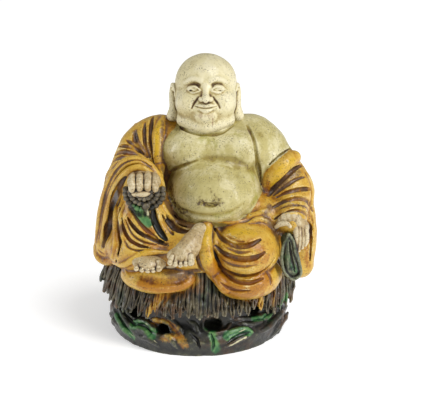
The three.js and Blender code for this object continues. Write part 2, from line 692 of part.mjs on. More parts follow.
// The surface with few triangles. It is judged with the face magnified, which keeps its features,
// and with the plainer back flattened.
async function thinned(fine) {
  const places = fine.getAttribute("position");
  const judged = places.clone();
  const p = point();
  for (let i = 0; i < places.count; i++) {
    p.fromBufferAttribute(places, i).sub(faceMiddle);
    p.multiplyScalar(1 + (faceWeight - 1) * Math.min(1, faceSpan / p.length())).add(faceMiddle);
    judged.setXYZ(i, p.x, p.y > 0 ? p.y * backWeight : p.y, p.z);
  }
  fine.setAttribute("place", places);
  fine.setAttribute("position", judged);
  const surplus = places.count - triangleBudget / 2;
  const coarse = await new SimplifyModifier().modify(fine, surplus);
  return coarse.setAttribute("position", coarse.getAttribute("place"));
}

// The fired piece: the clay thinned to a budget of triangles and sliced flat where it stands.
async function makeFigure() {
  const clay = new Clay(new THREE.Box3(point(-112, -104, -9), point(112, 96, height + 12)), clayGrain);
  modelFoot(clay);
  modelLeaves(clay);
  modelFigure(clay);
  const coarse = await thinned(skin(clay));
  const below = new THREE.BoxGeometry(400, 400, 40).translate(0, 0, -20);
  const pieces = solidOf(coarse).subtract(solidOf(below)).decompose();
  return geometryOf(pieces.reduce((a, b) => (b.volume() > a.volume() ? b : a)));
}

const figure = new THREE.Group();
const glaze = new THREE.MeshStandardMaterial({ color: 0xb08a3c, roughness: 0.35, metalness: 0 });
const body = new THREE.Mesh(await makeFigure(), glaze);
body.name = "buddha_figure";
body.geometry.computeBoundingBox();
const middle = body.geometry.boundingBox.getCenter(point());
body.position.set(-middle.x, -middle.y, 0);
figure.add(body);

export default figure;
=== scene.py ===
import math

import bmesh
import bpy
import numpy as np
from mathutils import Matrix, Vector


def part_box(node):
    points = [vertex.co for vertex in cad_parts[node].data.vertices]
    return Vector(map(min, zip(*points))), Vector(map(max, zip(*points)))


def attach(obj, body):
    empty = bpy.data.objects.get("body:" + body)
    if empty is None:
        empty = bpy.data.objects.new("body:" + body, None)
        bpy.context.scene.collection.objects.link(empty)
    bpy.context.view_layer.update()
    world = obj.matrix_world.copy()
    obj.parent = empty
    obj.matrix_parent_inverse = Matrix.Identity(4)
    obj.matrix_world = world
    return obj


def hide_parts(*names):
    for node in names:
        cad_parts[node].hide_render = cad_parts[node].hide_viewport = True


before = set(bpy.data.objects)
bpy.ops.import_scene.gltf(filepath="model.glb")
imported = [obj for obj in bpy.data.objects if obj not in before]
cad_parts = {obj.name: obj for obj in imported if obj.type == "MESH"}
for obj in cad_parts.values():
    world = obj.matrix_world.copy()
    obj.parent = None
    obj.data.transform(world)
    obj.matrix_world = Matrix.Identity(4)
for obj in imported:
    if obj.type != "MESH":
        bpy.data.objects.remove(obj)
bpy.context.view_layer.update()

import openvdb as vdb
from mathutils import Euler, Vector

# A seated monk in lead-glazed terracotta on a seat of hanging leaves and a pierced round foot.
# He is modelled like clay: lumps are added and smoothed in, rolls laid on, creases cut back.
# Lengths are in millimetres until a mesh is made. The face looks towards -Y, and Z is up.

rng = np.random.default_rng(7)
millimetre = 0.001

view = {
    "distance": 988.0,  # from the eye to the aim point
    "elevation": 17.0,
    "aimHeight": 120.8,
    "aimPixel": (201.5, 191.7),
    "focalPixels": 1134.0,
    "frame": (432, 416),
    "sensor": 36.0,
}
tilt = math.radians(view["elevation"])
boardCentre = np.array([0.0, 0.0, view["aimHeight"]])
boardUp = np.array([0.0, math.sin(tilt), math.cos(tilt)])
boardOut = np.array([0.0, -math.cos(tilt), math.sin(tilt)])
eye = boardCentre + view["distance"] * boardOut


# the drawing board has x to the right and h up, as the eye sees it

def sightlines(places):
    places = np.asarray(places, float)
    onBoard = boardCentre + places[:, :1] * [1, 0, 0] + places[:, 1:2] * boardUp
    rays = onBoard - eye
    return rays / np.linalg.norm(rays, axis=1, keepdims=True)


def seen(x, h, y):
    ray = sightlines([[x, h]])[0]
    return eye + ray * ((y - eye[1]) / ray[1])


def point(x, y, z):
    return np.array([x, y, z], float)


# curves

def spline(points, step):
    p = np.asarray(points, float)
    p = np.vstack([2 * p[0] - p[1], p, 2 * p[-1] - p[-2]])
    gap = np.sqrt(np.linalg.norm(np.diff(p, axis=0), axis=1)).clip(1e-4)[:, None]
    t = np.linspace(0, 1, 12, endpoint=False)[:, None]
    rows = []
    for i in range(1, len(p) - 2):
        a, b, c, d = p[i - 1:i + 3]
        g0, g1, g2 = gap[i - 1], gap[i], gap[i + 1]
        leave = ((b - a) / g0 - (c - a) / (g0 + g1) + (c - b) / g1) * g1
        arrive = ((c - b) / g1 - (d - b) / (g1 + g2) + (d - c) / g2) * g1
        rows.append(b + t * leave + t**2 * (3 * (c - b) - 2 * leave - arrive)
                    + t**3 * (2 * (b - c) + leave + arrive))
    line = np.vstack(rows + [p[-2:-1]])
    along = np.concatenate([[0], np.cumsum(np.linalg.norm(np.diff(line, axis=0), axis=1))])
    even = np.linspace(0, along[-1], max(3, math.ceil(along[-1] / step) + 1))
    return np.column_stack([np.interp(even, along, axis) for axis in line.T])


# lumps: each is a list of (lowest corner, highest corner, distance)

def egg(centre, radii, turn=(0, 0, 0)):
    radii = np.asarray(radii, float)
    m = np.array(Euler([math.radians(a) for a in turn], "XYZ").to_matrix())
    half = np.sqrt(((m * radii) ** 2).sum(axis=1))

    def distance(x, y, z):
        x, y, z = x - centre[0], y - centre[1], z - centre[2]
        near, slope = 0, 0
        for i, radius in enumerate(radii):
            share = (m[0, i] * x + m[1, i] * y + m[2, i] * z) / radius
            near = near + share**2
            slope = slope + (share / radius) ** 2
        near = np.sqrt(near)
        return near * (near - 1) / np.sqrt(slope + 1e-9)

    return [(centre - half, centre + half, distance)]


def limb(start, end, startRadius, endRadius):
    axis = end - start
    squared = max(axis @ axis, 1e-9)
    most = max(startRadius, endRadius)

    def distance(x, y, z):
        x, y, z = x - start[0], y - start[1], z - start[2]
        t = ((x * axis[0] + y * axis[1] + z * axis[2]) / squared).clip(0, 1)
        gap = (x - t * axis[0]) ** 2 + (y - t * axis[1]) ** 2 + (z - t * axis[2]) ** 2
        return np.sqrt(gap) - (startRadius + (endRadius - startRadius) * t)

    return [(np.minimum(start, end) - most, np.maximum(start, end) + most, distance)]


def roll(points, radii, step=3.0):
    if len(points) < 2:
        return []
    line = spline(points, step)
    share = np.linspace(0, len(radii) - 1, len(line))
    r = np.interp(share, np.arange(len(radii)), radii)
    return [limb(line[i], line[i + 1], r[i], r[i + 1])[0] for i in range(len(line) - 1)]


def turned(profile, middle):
    heights, radii = np.array(profile, float).T
    most = radii.max()

    def distance(x, y, z):
        i = np.clip(np.searchsorted(heights, z) - 1, 0, len(heights) - 2)
        t = ((z - heights[i]) / (heights[i + 1] - heights[i])).clip(0, 1)
        wall = radii[i] + (radii[i + 1] - radii[i]) * t * t * (3 - 2 * t)
        side = (np.sqrt((x - middle) ** 2 + y**2) - wall) * 0.85
        return np.maximum(side, np.maximum(heights[0] - z, z - heights[-1]))

    low = point(middle - most, -most, heights[0])
    return [(low, point(middle + most, most, heights[-1]), distance)]


def hung(places, radii, step=3.0):
    return roll([seen(x, h, y) for x, h, y in places], radii, step)


# the clay: a grid of distances to its surface, and which glaze lies where

class Clay:
    far = 20.0
    nearMiss = 4.0  # a sightline that passes this near still counts as met

    def __init__(self, low, high, grain):
        self.low = np.asarray(low, float)
        self.grain = grain
        self.count = np.ceil((np.asarray(high, float) - self.low) / grain).astype(int) + 1
        self.value = np.full(self.count, self.far, np.float32)
        self.zone = np.zeros(self.count, np.uint8)

    def span(self, low, high, reach):
        first = np.ceil((low - reach - self.low) / self.grain).clip(0, self.count)
        last = np.floor((high + reach - self.low) / self.grain + 1).clip(0, self.count)
        return [slice(int(a), max(int(a), int(b))) for a, b in zip(first, last)]

    def places(self, span):
        axes = [self.low[i] + self.grain * np.arange(s.start, s.stop) for i, s in enumerate(span)]
        return [a.astype(np.float32) for a in np.ix_(*axes)]

    def change(self, lump, reach, rule, zone):
        if not lump:
            return
        low = np.min([part[0] for part in lump], axis=0)
        high = np.max([part[1] for part in lump], axis=0)
        whole = self.span(low, high, reach)
        shape = np.full([s.stop - s.start for s in whole], self.far, np.float32)
        if shape.size == 0:
            return
        for partLow, partHigh, distance in lump:
            span = self.span(partLow, partHigh, reach)
            inner = tuple(slice(s.start - w.start, s.stop - w.start) for s, w in zip(span, whole))
            if shape[inner].size:
                shape[inner] = np.minimum(shape[inner], distance(*self.places(span)))
        whole = tuple(whole)
        if zone is not None:
            self.zone[whole][rule(self.value[whole], shape, True)] = zone
        touched = shape < self.far
        self.value[whole] = np.where(touched, rule(self.value[whole], shape, False), self.value[whole])

    def add(self, lump, blend=2.0, zone=None):
        def rule(clay, shape, wins):
            return shape < clay if wins else softMin(clay, shape, blend)
        self.change(lump, blend + 2.5, rule, zone)

    def cut(self, lump, blend=1.0, zone=None):
        def rule(clay, shape, wins):
            return shape < 0.6 if wins else -softMin(-clay, shape, blend)
        self.change(lump, blend + 2.5, rule, zone)

    # what lies in a box and passes a test takes another glaze
    def mark(self, low, high, test, zone):
        span = self.span(np.asarray(low, float), np.asarray(high, float), 0)
        chosen = np.broadcast_to(test(*self.places(span)), [s.stop - s.start for s in span])
        self.zone[tuple(span)][chosen] = zone

    def at(self, p):
        g = ((p - self.low) / self.grain).clip(0, self.count - 1.001)
        i = g.astype(int)
        f = (g - i).astype(np.float32)
        total = 0
        for a in (0, 1):
            for b in (0, 1):
                for c in (0, 1):
                    share = 1
                    for axis, corner in enumerate((a, b, c)):
                        share = share * (f[..., axis] if corner else 1 - f[..., axis])
                    total = total + share * self.value[i[..., 0] + a, i[..., 1] + b, i[..., 2] + c]
        return total

    # a curve laid on the surface along rays, evened out and pushed in by some depth
    def drawn(self, origins, rays, start, end, sink):
        t = np.arange(start, end, 0.6)
        gap = self.at(origins[:, None] + rays[:, None] * t[:, None])
        inside = gap <= 0
        hit = np.where(inside.any(1), inside.argmax(1), gap.argmin(1))
        met = inside.any(1) | (gap.min(1) < self.nearMiss)
        depth = t[hit][met]
        if len(depth) < 2:
            return np.zeros((0, 3))
        padded = np.pad(depth, 2, mode="edge")
        even = sum(w * padded[k:k + len(depth)] for k, w in enumerate((1, 2, 3, 2, 1))) / 9
        return (origins + np.zeros_like(rays))[met] + rays[met] * (even + sink)[:, None]

    # a curve of the surface as it is seen through places on the board
    def laid(self, places, sink=0.0, step=3.0):
        rays = sightlines(spline(places, step))
        near = view["distance"] - 130
        return self.drawn(eye[None] + 0 * rays, rays, near, near + 260, sink)

    # a curve of the surface as it is met from one side, through places well outside the clay
    def met(self, places, direction, sink=0.0, step=3.0):
        origins = spline(places, step)
        return self.drawn(origins, np.tile(np.asarray(direction, float), (len(origins), 1)), 0, 260, sink)

    # rolls of cloth that stand proud of the clay, and creases pressed in, fading at both ends
    def fold(self, curves, radius, height, blend=1.5, zone=None, ends=0.4):
        laid = [self.laid(curve, radius - height) for curve in curves]
        for line in laid:
            self.add(roll(line, [radius * ends, radius, radius, radius, radius * ends]), blend, zone)

    def crease(self, curves, radius, depth, blend=1.0, zone=None, ends=0.4):
        laid = [self.laid(curve, depth - radius) for curve in curves]
        for line in laid:
            self.cut(roll(line, [radius * ends, radius, radius, radius, radius * ends]), blend, zone)


def softMin(a, b, blend):
    overlap = np.maximum(blend - np.abs(a - b), 0)
    return np.minimum(a, b) - overlap**2 / (4 * max(blend, 1e-6))


# the hollow zone marks the insides of vents, gaps and pockets, which the glazes paint dark as painted shade
zones = {"skin": 1, "robe": 2, "hand": 3, "beads": 4, "bag": 5, "leaf": 6, "foot": 7, "hollow": 8}
skin, robe, hand, beads, bag, leaf, foot, hollow = zones.values()


# the seat: a pierced round foot and a skirt of hanging leaves

seat = {
    "grain": 0.52,
    "low": (-108, -98, -6),
    "high": (104, 96, 78),
    "middle": -3.2,
    "sole": -0.8,  # the foot stands this far below the board's zero
    "profile": [(-5, 74), (1, 76), (12, 78), (26, 67), (38, 69), (50, 63), (70, 62)],
    "scrolls": 17,
    "vents": [(10.5, 24.5, 8, 4.6), (-25, 19.5, 5, 3), (-75, 26, 5, 4), (75, 27, 5, 4),
              (-128, 27, 6, 4), (128, 27, 6, 4), (180, 28, 7, 4.5)],
    "blades": 36,
    "bladeRadius": 77.0,
    "lean": 3.0,  # the skirt of leaves sits to the left of the foot
}


def around(angle, radius, z):
    a = math.radians(angle)
    return point(seat["middle"] + math.sin(a) * radius, -math.cos(a) * radius, z)


def modelFoot(clay):
    clay.add(turned(seat["profile"], seat["middle"]), 1, foot)
    # scrolls of rock and water round the foot; those in front are drawn below
    for i in range(seat["scrolls"]):
        middle = (i + 0.5) / seat["scrolls"] * 360
        if middle < 55 or middle > 305:
            continue
        lean = 6 if i % 2 else -6
        for drop, half in ((0, 11), (7, 8), (-7, 7)):
            crest = []
            for s in (-1, -0.4, 0.2, 1):
                angle, z = middle + s * half, 17 - drop + s * lean - 6 * s * s
                inward = around(angle, -1, 0) - around(angle, 0, 0)
                crest.append(clay.met([around(angle, 130, z), around(angle, 130, z + 1)], inward)[0])
            clay.add(roll(crest, [1, 2.8, 2.6, 1]), 1.2, foot)
    ridges = [
        [(-77, -102), (-71, -114), (-62, -126)],
        [(-72, -102), (-66, -112), (-58, -122)],
        [(-66, -103), (-61, -108), (-56, -110)],
        [(-60, -113), (-50, -113), (-42, -119), (-38, -126)],
        [(-59, -118), (-51, -121), (-45, -127)],
        [(-55, -126), (-46, -128), (-38, -134)],
        [(-44, -111), (-36, -112), (-27, -116)],
        [(-34, -107), (-26, -111), (-20, -119), (-17, -126)],
        [(-34, -124), (-27, -128), (-22, -136)],
        [(-12, -112), (-6, -116), (-3, -124)],
        [(1, -110), (2, -118), (9, -123), (20, -122), (25, -115)],
        [(20, -112), (33, -111), (46, -111), (58, -106)],
        [(30, -115), (42, -116), (52, -113)],
        [(17, -128), (26, -122), (38, -120), (44, -123)],
        [(20, -135), (30, -130), (41, -126)],
        [(48, -124), (57, -119), (66, -110), (74, -100)],
        [(52, -113), (60, -109), (68, -102)],
        [(60, -126), (68, -117), (75, -106)],
    ]
    clay.fold(ridges, 2.6, 2.3, 1.0, foot)
    grooves = [
        [(-74, -104), (-68, -114), (-60, -125)],
        [(-69, -103), (-63, -111), (-57, -117)],
        [(-57, -115), (-49, -117), (-43, -124)],
        [(-40, -115), (-33, -119), (-27, -124)],
        [(22, -132), (31, -126), (41, -123)],
        [(55, -116), (64, -107), (71, -98)],
        [(8, -124), (10, -132), (9, -139)],
        [(-10, -124), (-4, -130), (-2, -137)],
    ]
    clay.crease(grooves, 1.5, 1.8, 0.8)
    # the insides of the vents are marked hollow for painted shade
    for angle, z, wide, high in seat["vents"]:
        clay.cut(egg(around(angle, 70, z), [wide, 13, high], [0, 0, angle]), 1.5, hollow)
    # gaps under the leaves, marked hollow for painted shade
    gaps = [([-57, -103.5], [6.5, 10, 5]), ([46, -103], [5, 10, 4.5]), ([-30, -118.5], [5.5, 9, 3])]
    for (x, h), radii in gaps:
        line = clay.laid([(x, h), (x + 1, h)])
        clay.cut(egg(line[0], radii), 1.2, hollow)


# one blade hangs as a bundle of ribs that draw together at a blunt tip
def hangBlade(clay, top, bottom, width, out, ribs=4):
    fall = bottom - top
    length = np.linalg.norm(fall)
    side = np.cross(fall, out)
    side /= np.linalg.norm(side)
    middle = top + fall * 0.55 - out * 1.2
    clay.add(limb(top - out * 2, middle, width * 0.34, width * 0.36), 0.5, leaf)
    clay.add(limb(middle, bottom - fall / length * 3 - out * 1.0, width * 0.36, width * 0.2), 0.5, leaf)
    for i in range(ribs):
        s = i / (ribs - 1) - 0.5
        crown = out * (2.0 - 7 * s * s)
        rise = fall / length * (11 * s * s + 2.0 * math.sin(7 * i + top[0]))
        wander = side * 0.7 * math.sin(3 * i + bottom[0]) + out * 0.7 * math.sin(5 * i + bottom[0])
        line = [top + side * s * width * 0.8 + crown - out * 1.5,
                top + fall * 0.4 + side * s * width + crown + wander,
                top + fall * 0.75 + side * s * width * 0.9 + crown - wander,
                bottom - rise + side * s * width * 0.5 + crown * 0.7]
        r = width / ribs * (0.54 + 0.08 * math.sin(4 * i + top[0]))
        clay.add(roll(line, [r, r, r, r * 0.75], 4.0), 0.3, leaf)


def modelLeaves(clay):
    for row, (radius, topZ, lowZ, shift) in enumerate(((72, 62, 34, 0.5), (76.5, 67, 36, 0))):
        for i in range(seat["blades"]):
            angle = ((i + shift) / seat["blades"] * 360 + 180) % 360 - 180
            if abs(angle) < 62:
                continue
            wave = math.sin(i * 2.4)
            slant = 5 * math.sin(i * 1.7) - 3 * math.sin(math.radians(angle))
            top = around(angle + slant * 0.3, radius - 4, topZ)
            bottom = around(angle + slant, radius + 2 + wave, lowZ - 2.5 * wave)
            for end in (top, bottom):
                end[0] -= seat["lean"]
            out = around(angle, 1, 0) - around(angle, 0, 0)
            hangBlade(clay, top, bottom, 12.5, out)
    # the blades in front, drawn one by one: top and tip on the board, depth of each, and width
    drawn = [
        ((-80, -56), (-87, -78), -14, -19, 8), ((-74, -58), (-84, -86), -26, -30, 8),
        ((-70, -62), (-80, -96), -36, -39, 8), ((-65, -65), (-74, -101), -42, -48, 8),
        ((-60, -71), (-68, -102), -47, -54, 8), ((-55, -76), (-61, -103), -50, -59, 8),
        ((-49, -80), (-54, -106), -54, -64, 8), ((-42, -84), (-47, -108), -57, -68, 8),
        ((-36, -85), (-39, -106), -60, -71, 8), ((-30, -85), (-32, -108), -61, -74, 8),
        ((-23, -84), (-25, -109), -62, -76, 8), ((-16, -80), (-19, -107), -63, -77, 8),
        ((-8, -72), (-12, -108), -64, -78, 9), ((-1, -66), (-3, -110), -65, -79, 10),
        ((6, -66), (4, -109), -65, -79, 9), ((11, -70), (12, -107), -65, -78, 9),
        ((17, -80), (19, -106), -64, -78, 8), ((24, -86), (26, -108), -63, -77, 8),
        ((31, -88), (32, -106), -62, -75, 8), ((38, -88), (39, -107), -60, -72, 8),
        ((45, -86), (44, -102), -58, -68, 7), ((51, -82), (50, -103), -54, -63, 8),
        ((57, -77), (56, -105), -50, -58, 8), ((63, -74), (62, -105), -44, -52, 8),
        ((69, -74), (67, -103), -34, -45, 8), ((74, -76), (72, -99), -24, -34, 8),
        ((78, -76), (76, -95), -10, -18, 8),
    ]
    for back in (True, False):
        for n, ((x0, h0), (x1, h1), y0, y1, width) in enumerate(drawn):
            top, bottom = seen(x0, h0, y0), seen(x1, h1, y1)
            out = point((x0 + x1) / 2 + seat["lean"], (y0 + y1) / 2 - 8, 0)
            out /= np.linalg.norm(out)
            if back:  # a second row shows between the tips of the first
                if n % 2:
                    continue
                shift = point(4.5, 0, 0)
                hangBlade(clay, top + shift - out * 4, bottom + shift - out * 4 + [0, 0, 2.5], width, out, 3)
            else:
                hangBlade(clay, top, bottom, width, out)


# the monk's body, bare chest and shoulder

def modelHips(clay):
    clay.add(egg(point(2, 2, 82), [78, 60, 30]), 4, robe)
    clay.add(egg(point(2, 12, 112), [72, 42, 60]), 10, robe)
    clay.add(egg(point(0, 10, 74), [80, 66, 24]), 8, robe)
    clay.add(egg(seen(-6, -46, -40), [44, 36, 24]), 8, robe)
    # the knee that is folded out to the right, and the robe that hangs below it
    clay.add(egg(seen(37, -72, -50), [31, 33, 19]), 5, robe)
    clay.add(egg(seen(62, -72, -46), [8, 12, 9]), 3, robe)
    clay.add(egg(seen(38.5, -49, -52), [28.5, 33, 24]), 2, robe)
    # the knee under the hanging sleeve, and the cloth between it and the raised hand
    clay.add(egg(seen(-48, -46, -38), [34, 36, 24]), 8, robe)
    clay.add(egg(seen(-50, -24, -38), [26, 26, 32]), 8, robe)
    # the robe that is gathered at the waist, and the flap of robe under the feet
    clay.add(egg(seen(52, -22, -32), [20, 22, 20]), 8, robe)
    clay.add(egg(seen(-35, -71.5, -54), [34.5, 27, 14]), 2, robe)


def modelTrunk(clay):
    clay.add(egg(point(7, 2, 158), [42, 36, 32]), 6, skin)
    clay.add(egg(seen(-9, 36, -22), [22, 18, 17]), 10, skin)
    clay.add(egg(seen(28, 36, -22), [24, 18, 18]), 10, skin)
    clay.add(egg(seen(11.5, 1, -24), [39, 42, 31]), 7, skin)
    clay.add(limb(point(4, -1, 165), point(4, -3, 190), 23, 20), 6, skin)
    # the fold over the belly, the one below the neck, and the navel
    clay.crease([[(-30, 17), (-22, 20.5), (-13, 24), (-3, 27.5)]], 1.8, 1.3)
    clay.crease([[(-3, 27.5), (10, 29), (26, 28), (40, 23)]], 3, 0.5, 2)
    clay.crease([[(-22, 59), (-10, 52), (5, 50), (18, 52), (29, 58)]], 2, 1.4)
    clay.crease([[(0, -10.5), (7, -12), (15, -10.5)]], 2.2, 2.4)
    clay.crease([[(-25, -12), (-10, -20), (6, -22.5), (24, -20), (38, -11)]], 3, 0.5, 2)


arms = {
    "bare": [([53.5, 0, 153], [75, -10, 127], 24, 21)],
}


def modelArms(clay):
    # the bare shoulder and the arm that comes down to the knee
    clay.add(egg(point(41, 2, 161.5), [28, 26, 28]), 8, skin)
    for start, end, r0, r1 in arms["bare"]:
        clay.add(limb(point(*start), point(*end), r0, r1), 8, skin)
    clay.add(limb(point(74, -10, 124), seen(78, -24, -46), 20, 13), 6, robe)
    # its sleeve, which hangs outside the knee
    clay.add(roll([point(76, -10, 117), point(84, -16, 90), point(85, -22, 62)], [20.5, 16, 12.5]), 6, robe)
    # the robed shoulder, and the forearm raised to the front
    clay.add(egg(point(-35, 2, 161), [28, 27, 27.5]), 8, robe)
    clay.add(limb(point(-48, 0, 154), point(-62, -12, 133), 25, 20.5), 8, robe)
    clay.add(limb(point(-62, -12, 130), seen(-51, 6, -44), 19.5, 18), 6, robe)
    # its wide sleeve, which hangs down to the seat
    hang = [point(-65, -14, 122), point(-72, -20, 100), seen(-78, -46, -28)]
    clay.add(roll(hang, [17, 17, 14]), 6, robe)
    # the crease in front of the armpit
    clay.crease([[(40, 58), (45.5, 44), (47.5, 32), (50, 18), (52, 6)]], 2.4, 3.4)


sleeve = {
    # the lapel beside the chest
    "lapel": [(-33, 65), (-36.5, 52), (-38, 38), (-37.5, 26), (-35, 14)],
    # grooves from the shoulder to the crook of the arm: curve, radius, depth
    "grooves": [
        ([(-42, 66), (-43.5, 50), (-43, 38), (-40.5, 25)], 2.4, 4.4),
        ([(-49, 60), (-49, 47), (-47.5, 37), (-43.5, 28)], 2.1, 3.6),
        ([(-58, 53), (-57, 45), (-53, 38), (-47, 30.5)], 3.2, 4.4),
        ([(-66, 46), (-60, 41), (-54, 36), (-49, 32)], 1.8, 2.6),
        ([(-74, 40), (-64, 39.5), (-57, 36), (-50, 31)], 1.8, 2.4),
        ([(-80, 30), (-71, 34.5), (-61, 34), (-53, 31)], 2.4, 3.6),
        ([(-83, 21), (-76, 27.5), (-67, 30.5), (-58, 30)], 1.8, 2.6),
        ([(-87, 6), (-82, 16), (-75, 24), (-66, 28.5)], 1.6, 2.0),
    ],
    # the wide mouth: folds that arch over the fist, as x, h and depth
    "outer": [(-89, -50, -27), (-87, -25, -32), (-82.5, -2, -38), (-75, 15, -42), (-66, 25.5, -44),
              (-55, 27.5, -45), (-43.5, 21, -47), (-36, 9, -50), (-33.5, -4, -50)],
    "inner": [(-86, -52, -34), (-83, -27, -38), (-78.5, -6, -44), (-72, 8.5, -48),
              (-63.5, 18, -51), (-54, 21, -52), (-44.5, 16.5, -53), (-38, 6.5, -54), (-36, -5, -54)],
    "hollow": [(-66, 13), (-71.5, 4), (-75.5, -8), (-78.5, -22), (-81.5, -34), (-85, -47)],
    "corner": [(-90, -48, -28), (-89.5, -55, -31), (-84, -60, -36), (-77, -59, -44)],
}


def drapeSleeve(clay):
    clay.fold([sleeve["lapel"]], 5.2, 4.2, zone=robe)
    for curve, radius, depth in sleeve["grooves"]:
        clay.crease([curve], radius, depth)
    clay.add(hung(sleeve["outer"], [4, 4.6, 4.6, 4, 3]), 2, robe)
    clay.add(hung(sleeve["inner"], [3.4, 3.6, 3.6, 3.2, 2.4]), 0.8, robe)
    # a fine groove along the outer fold
    clay.crease([[(-91.5, -44), (-87, -18), (-82, 3), (-74, 18.5), (-64, 26.5), (-54, 27.5), (-44, 22)]],
                1.0, 1.2)
    clay.crease([sleeve["hollow"]], 4.0, 4.6, 1.5)
    # the folds that hang inside the mouth
    clay.fold([[(-69.5, -2), (-73.5, -14), (-74.5, -28), (-74.5, -42), (-78, -57)]], 2.8, 3.0, 1, robe)
    clay.fold([[(-67, -10), (-70.5, -22), (-69.5, -36), (-66, -46)]], 2.0, 1.8, 1, robe)
    clay.crease([[(-70.5, -14), (-72, -30), (-70, -44), (-71.5, -55), (-75, -62)]], 2.0, 4.2)
    clay.add(hung(sleeve["corner"], [4, 4, 3.6, 3]), 1.5, robe)
    clay.crease([[(-90, -50), (-86, -54), (-80, -55)]], 1.4, 1.6)


lap = {
    # grooves that flow from under the raised hand to the feet: curve, radius, depth
    "grooves": [
        ([(-66, -16), (-60, -28), (-53, -36), (-44, -41.5), (-33, -45.5), (-25, -48.5)], 2.6, 4.8),
        ([(-43, -12), (-41, -24), (-37, -34), (-30, -43)], 3.2, 4.6),
        ([(-69, -20), (-67, -33), (-62, -42), (-54, -47), (-42, -49.5)], 2.0, 3.4),
        ([(-61, -16), (-54, -27), (-45, -36), (-36, -42)], 1.6, 2.2),
        ([(-37, -16), (-32, -26), (-27, -34), (-23, -41)], 1.6, 3.0),
        ([(-68, -40), (-64, -48), (-56, -51), (-48, -51)], 1.2, 1.4),
        ([(-66, -24), (-61, -36), (-52, -43), (-40, -46)], 1.2, 1.6),
    ],
    "hollow": [(-33, -17), (-28, -26), (-21, -33.5), (-14, -36), (-8, -34)],
    "hem": [(-77, -62), (-68, -63), (-60, -59), (-52, -54.5), (-44, -52.8), (-28, -52.5)],
    "waist": [(-33, -12), (-28, -21), (-20, -26.5), (-10, -29), (3, -28.5)],
    "knots": [
        ([(37, -24), (45, -20.5), (51, -18.5), (58, -15)], 2.2, 2.2),
        ([(40, -28), (50, -24.5), (57, -26), (63, -33)], 2.4, 2.4),
        ([(14, -26), (24, -26.5), (34, -26), (44, -23)], 1.8, 1.2),
    ],
    "strap": [(5, -29), (3.5, -44), (4.5, -57), (9, -67), (15, -76), (20, -84)],
    # smile-shaped creases round the knee and below it
    "creases": [
        ([(12, -33), (17, -40), (25, -45.5), (34, -48), (43, -46.5), (51, -42)], 2.4, 3.6),
        ([(12, -47), (19, -53.5), (28, -57.5), (38, -59), (47, -57.5), (55, -53)], 2.4, 3.4),
        ([(20, -37), (28, -42), (37, -43.5)], 1.4, 1.3),
        ([(14, -41), (22, -48.5), (32, -53), (44, -52)], 1.2, 1.0),
        ([(16, -58), (24, -63.5), (36, -66), (47, -64.5)], 1.4, 1.3),
        ([(18, -69), (26, -75.5), (34, -79), (43, -79.5), (53, -76)], 2.4, 3.2),
        ([(16, -79), (24, -84.5), (33, -86.5), (42, -86)], 1.6, 2.0),
        ([(24, -72), (32, -75), (42, -75.5)], 1.2, 1.1),
        ([(56, -69), (60, -74), (60, -81)], 1.6, 2.0),
    ],
    "bowl": [(-58, -72), (-46, -76), (-32, -77.5), (-18, -76), (-5, -70)],
    "rim": [(-67, -68), (-61, -77), (-49, -84), (-35, -86.5), (-20, -85), (-8, -79), (-1, -70)],
    "edge": [(11, -32), (9.8, -45), (12, -56), (18, -65.5), (29, -71), (42, -72), (54, -68), (63, -58)],
}


def drapeLap(clay):
    for curve, radius, depth in lap["grooves"]:
        clay.crease([curve], radius, depth)
    clay.crease([lap["hollow"]], 3.4, 6)
    clay.crease([[(-25, -19), (-20, -27), (-13, -31.5), (-5, -31.5)]], 1.8, 4)
    clay.fold([lap["hem"]], 2.8, 3.0, 1, robe)
    clay.fold([lap["waist"]], 1.9, 2.4, 1, robe)
    for curve, radius, high in lap["knots"]:
        clay.fold([curve], radius, high, 1, robe)
    # the band of robe that hangs over the ankle, set off from the leg
    clay.fold([lap["strap"]], 6.2, 5.6, 1.2, robe, 0.8)
    clay.crease([[(-3, -31), (-4, -45), (-3, -58), (1, -68), (8, -74)]], 2.2, 3.4)
    clay.crease([[(10.5, -31), (9.5, -42), (11, -53), (16, -63)]], 2.0, 3.0)
    for curve, radius, depth in lap["creases"]:
        clay.crease([curve], radius, depth)
    clay.crease([lap["edge"]], 2.4, 4.8)
    # the flap under the feet is a shallow bowl with a rim
    clay.crease([lap["bowl"]], 6.5, 3.0, 2)
    clay.fold([lap["rim"]], 1.6, 1.2, 1, robe)


cuff = {
    "band": [(56, 4), (62, 14), (70, 22.5), (80, 29.5)],
    "grooves": [
        ([(56, -6), (63, 2), (71, 10), (79, 18), (88, 23)], 2.6, 4.6),
        ([(63, -3), (74, 5), (84, 11), (91, 13)], 1.6, 2.0),
        ([(66, -5), (76, -1), (86, 1.5), (96, 2)], 2.2, 3.4),
        ([(60, -16), (67, -11.5), (76, -8), (86, -6.7), (93, -9.5), (97, -17)], 2.4, 4.0),
        ([(63, -24.5), (71, -20.5), (80, -17.3), (88, -18.5), (92.5, -25), (94.5, -38), (94, -60)], 2.4, 4.2),
        ([(84, -12), (90, -13.5), (95.5, -20), (97.5, -34)], 1.1, 1.4),
        ([(68, -15.5), (77, -12.5), (86, -12.5)], 1.0, 1.0),
        ([(54, 17), (60, 24.5), (68, 31.5), (78, 38)], 1.3, 2.6),
    ],
}


def drapeArm(clay):
    # the rolled edge of the sleeve round the bare arm, and the grooves below it
    clay.fold([cuff["band"]], 8, 3.2, 1.5, robe, 0.8)
    inner, outer, behind = seen(55, 17, -27), seen(79, 38, -12), point(70, 22, 140)
    across = np.cross(outer - inner, behind - inner)
    across /= np.linalg.norm(across) * np.sign(across[2])
    clay.mark((52, -50, 90), (108, 60, 168), lambda x, y, z: (x - inner[0]) * across[0]
              + (y - inner[1]) * across[1] + (z - inner[2]) * across[2] < 0, robe)
    for curve, radius, depth in cuff["grooves"]:
        clay.crease([curve], radius, depth)


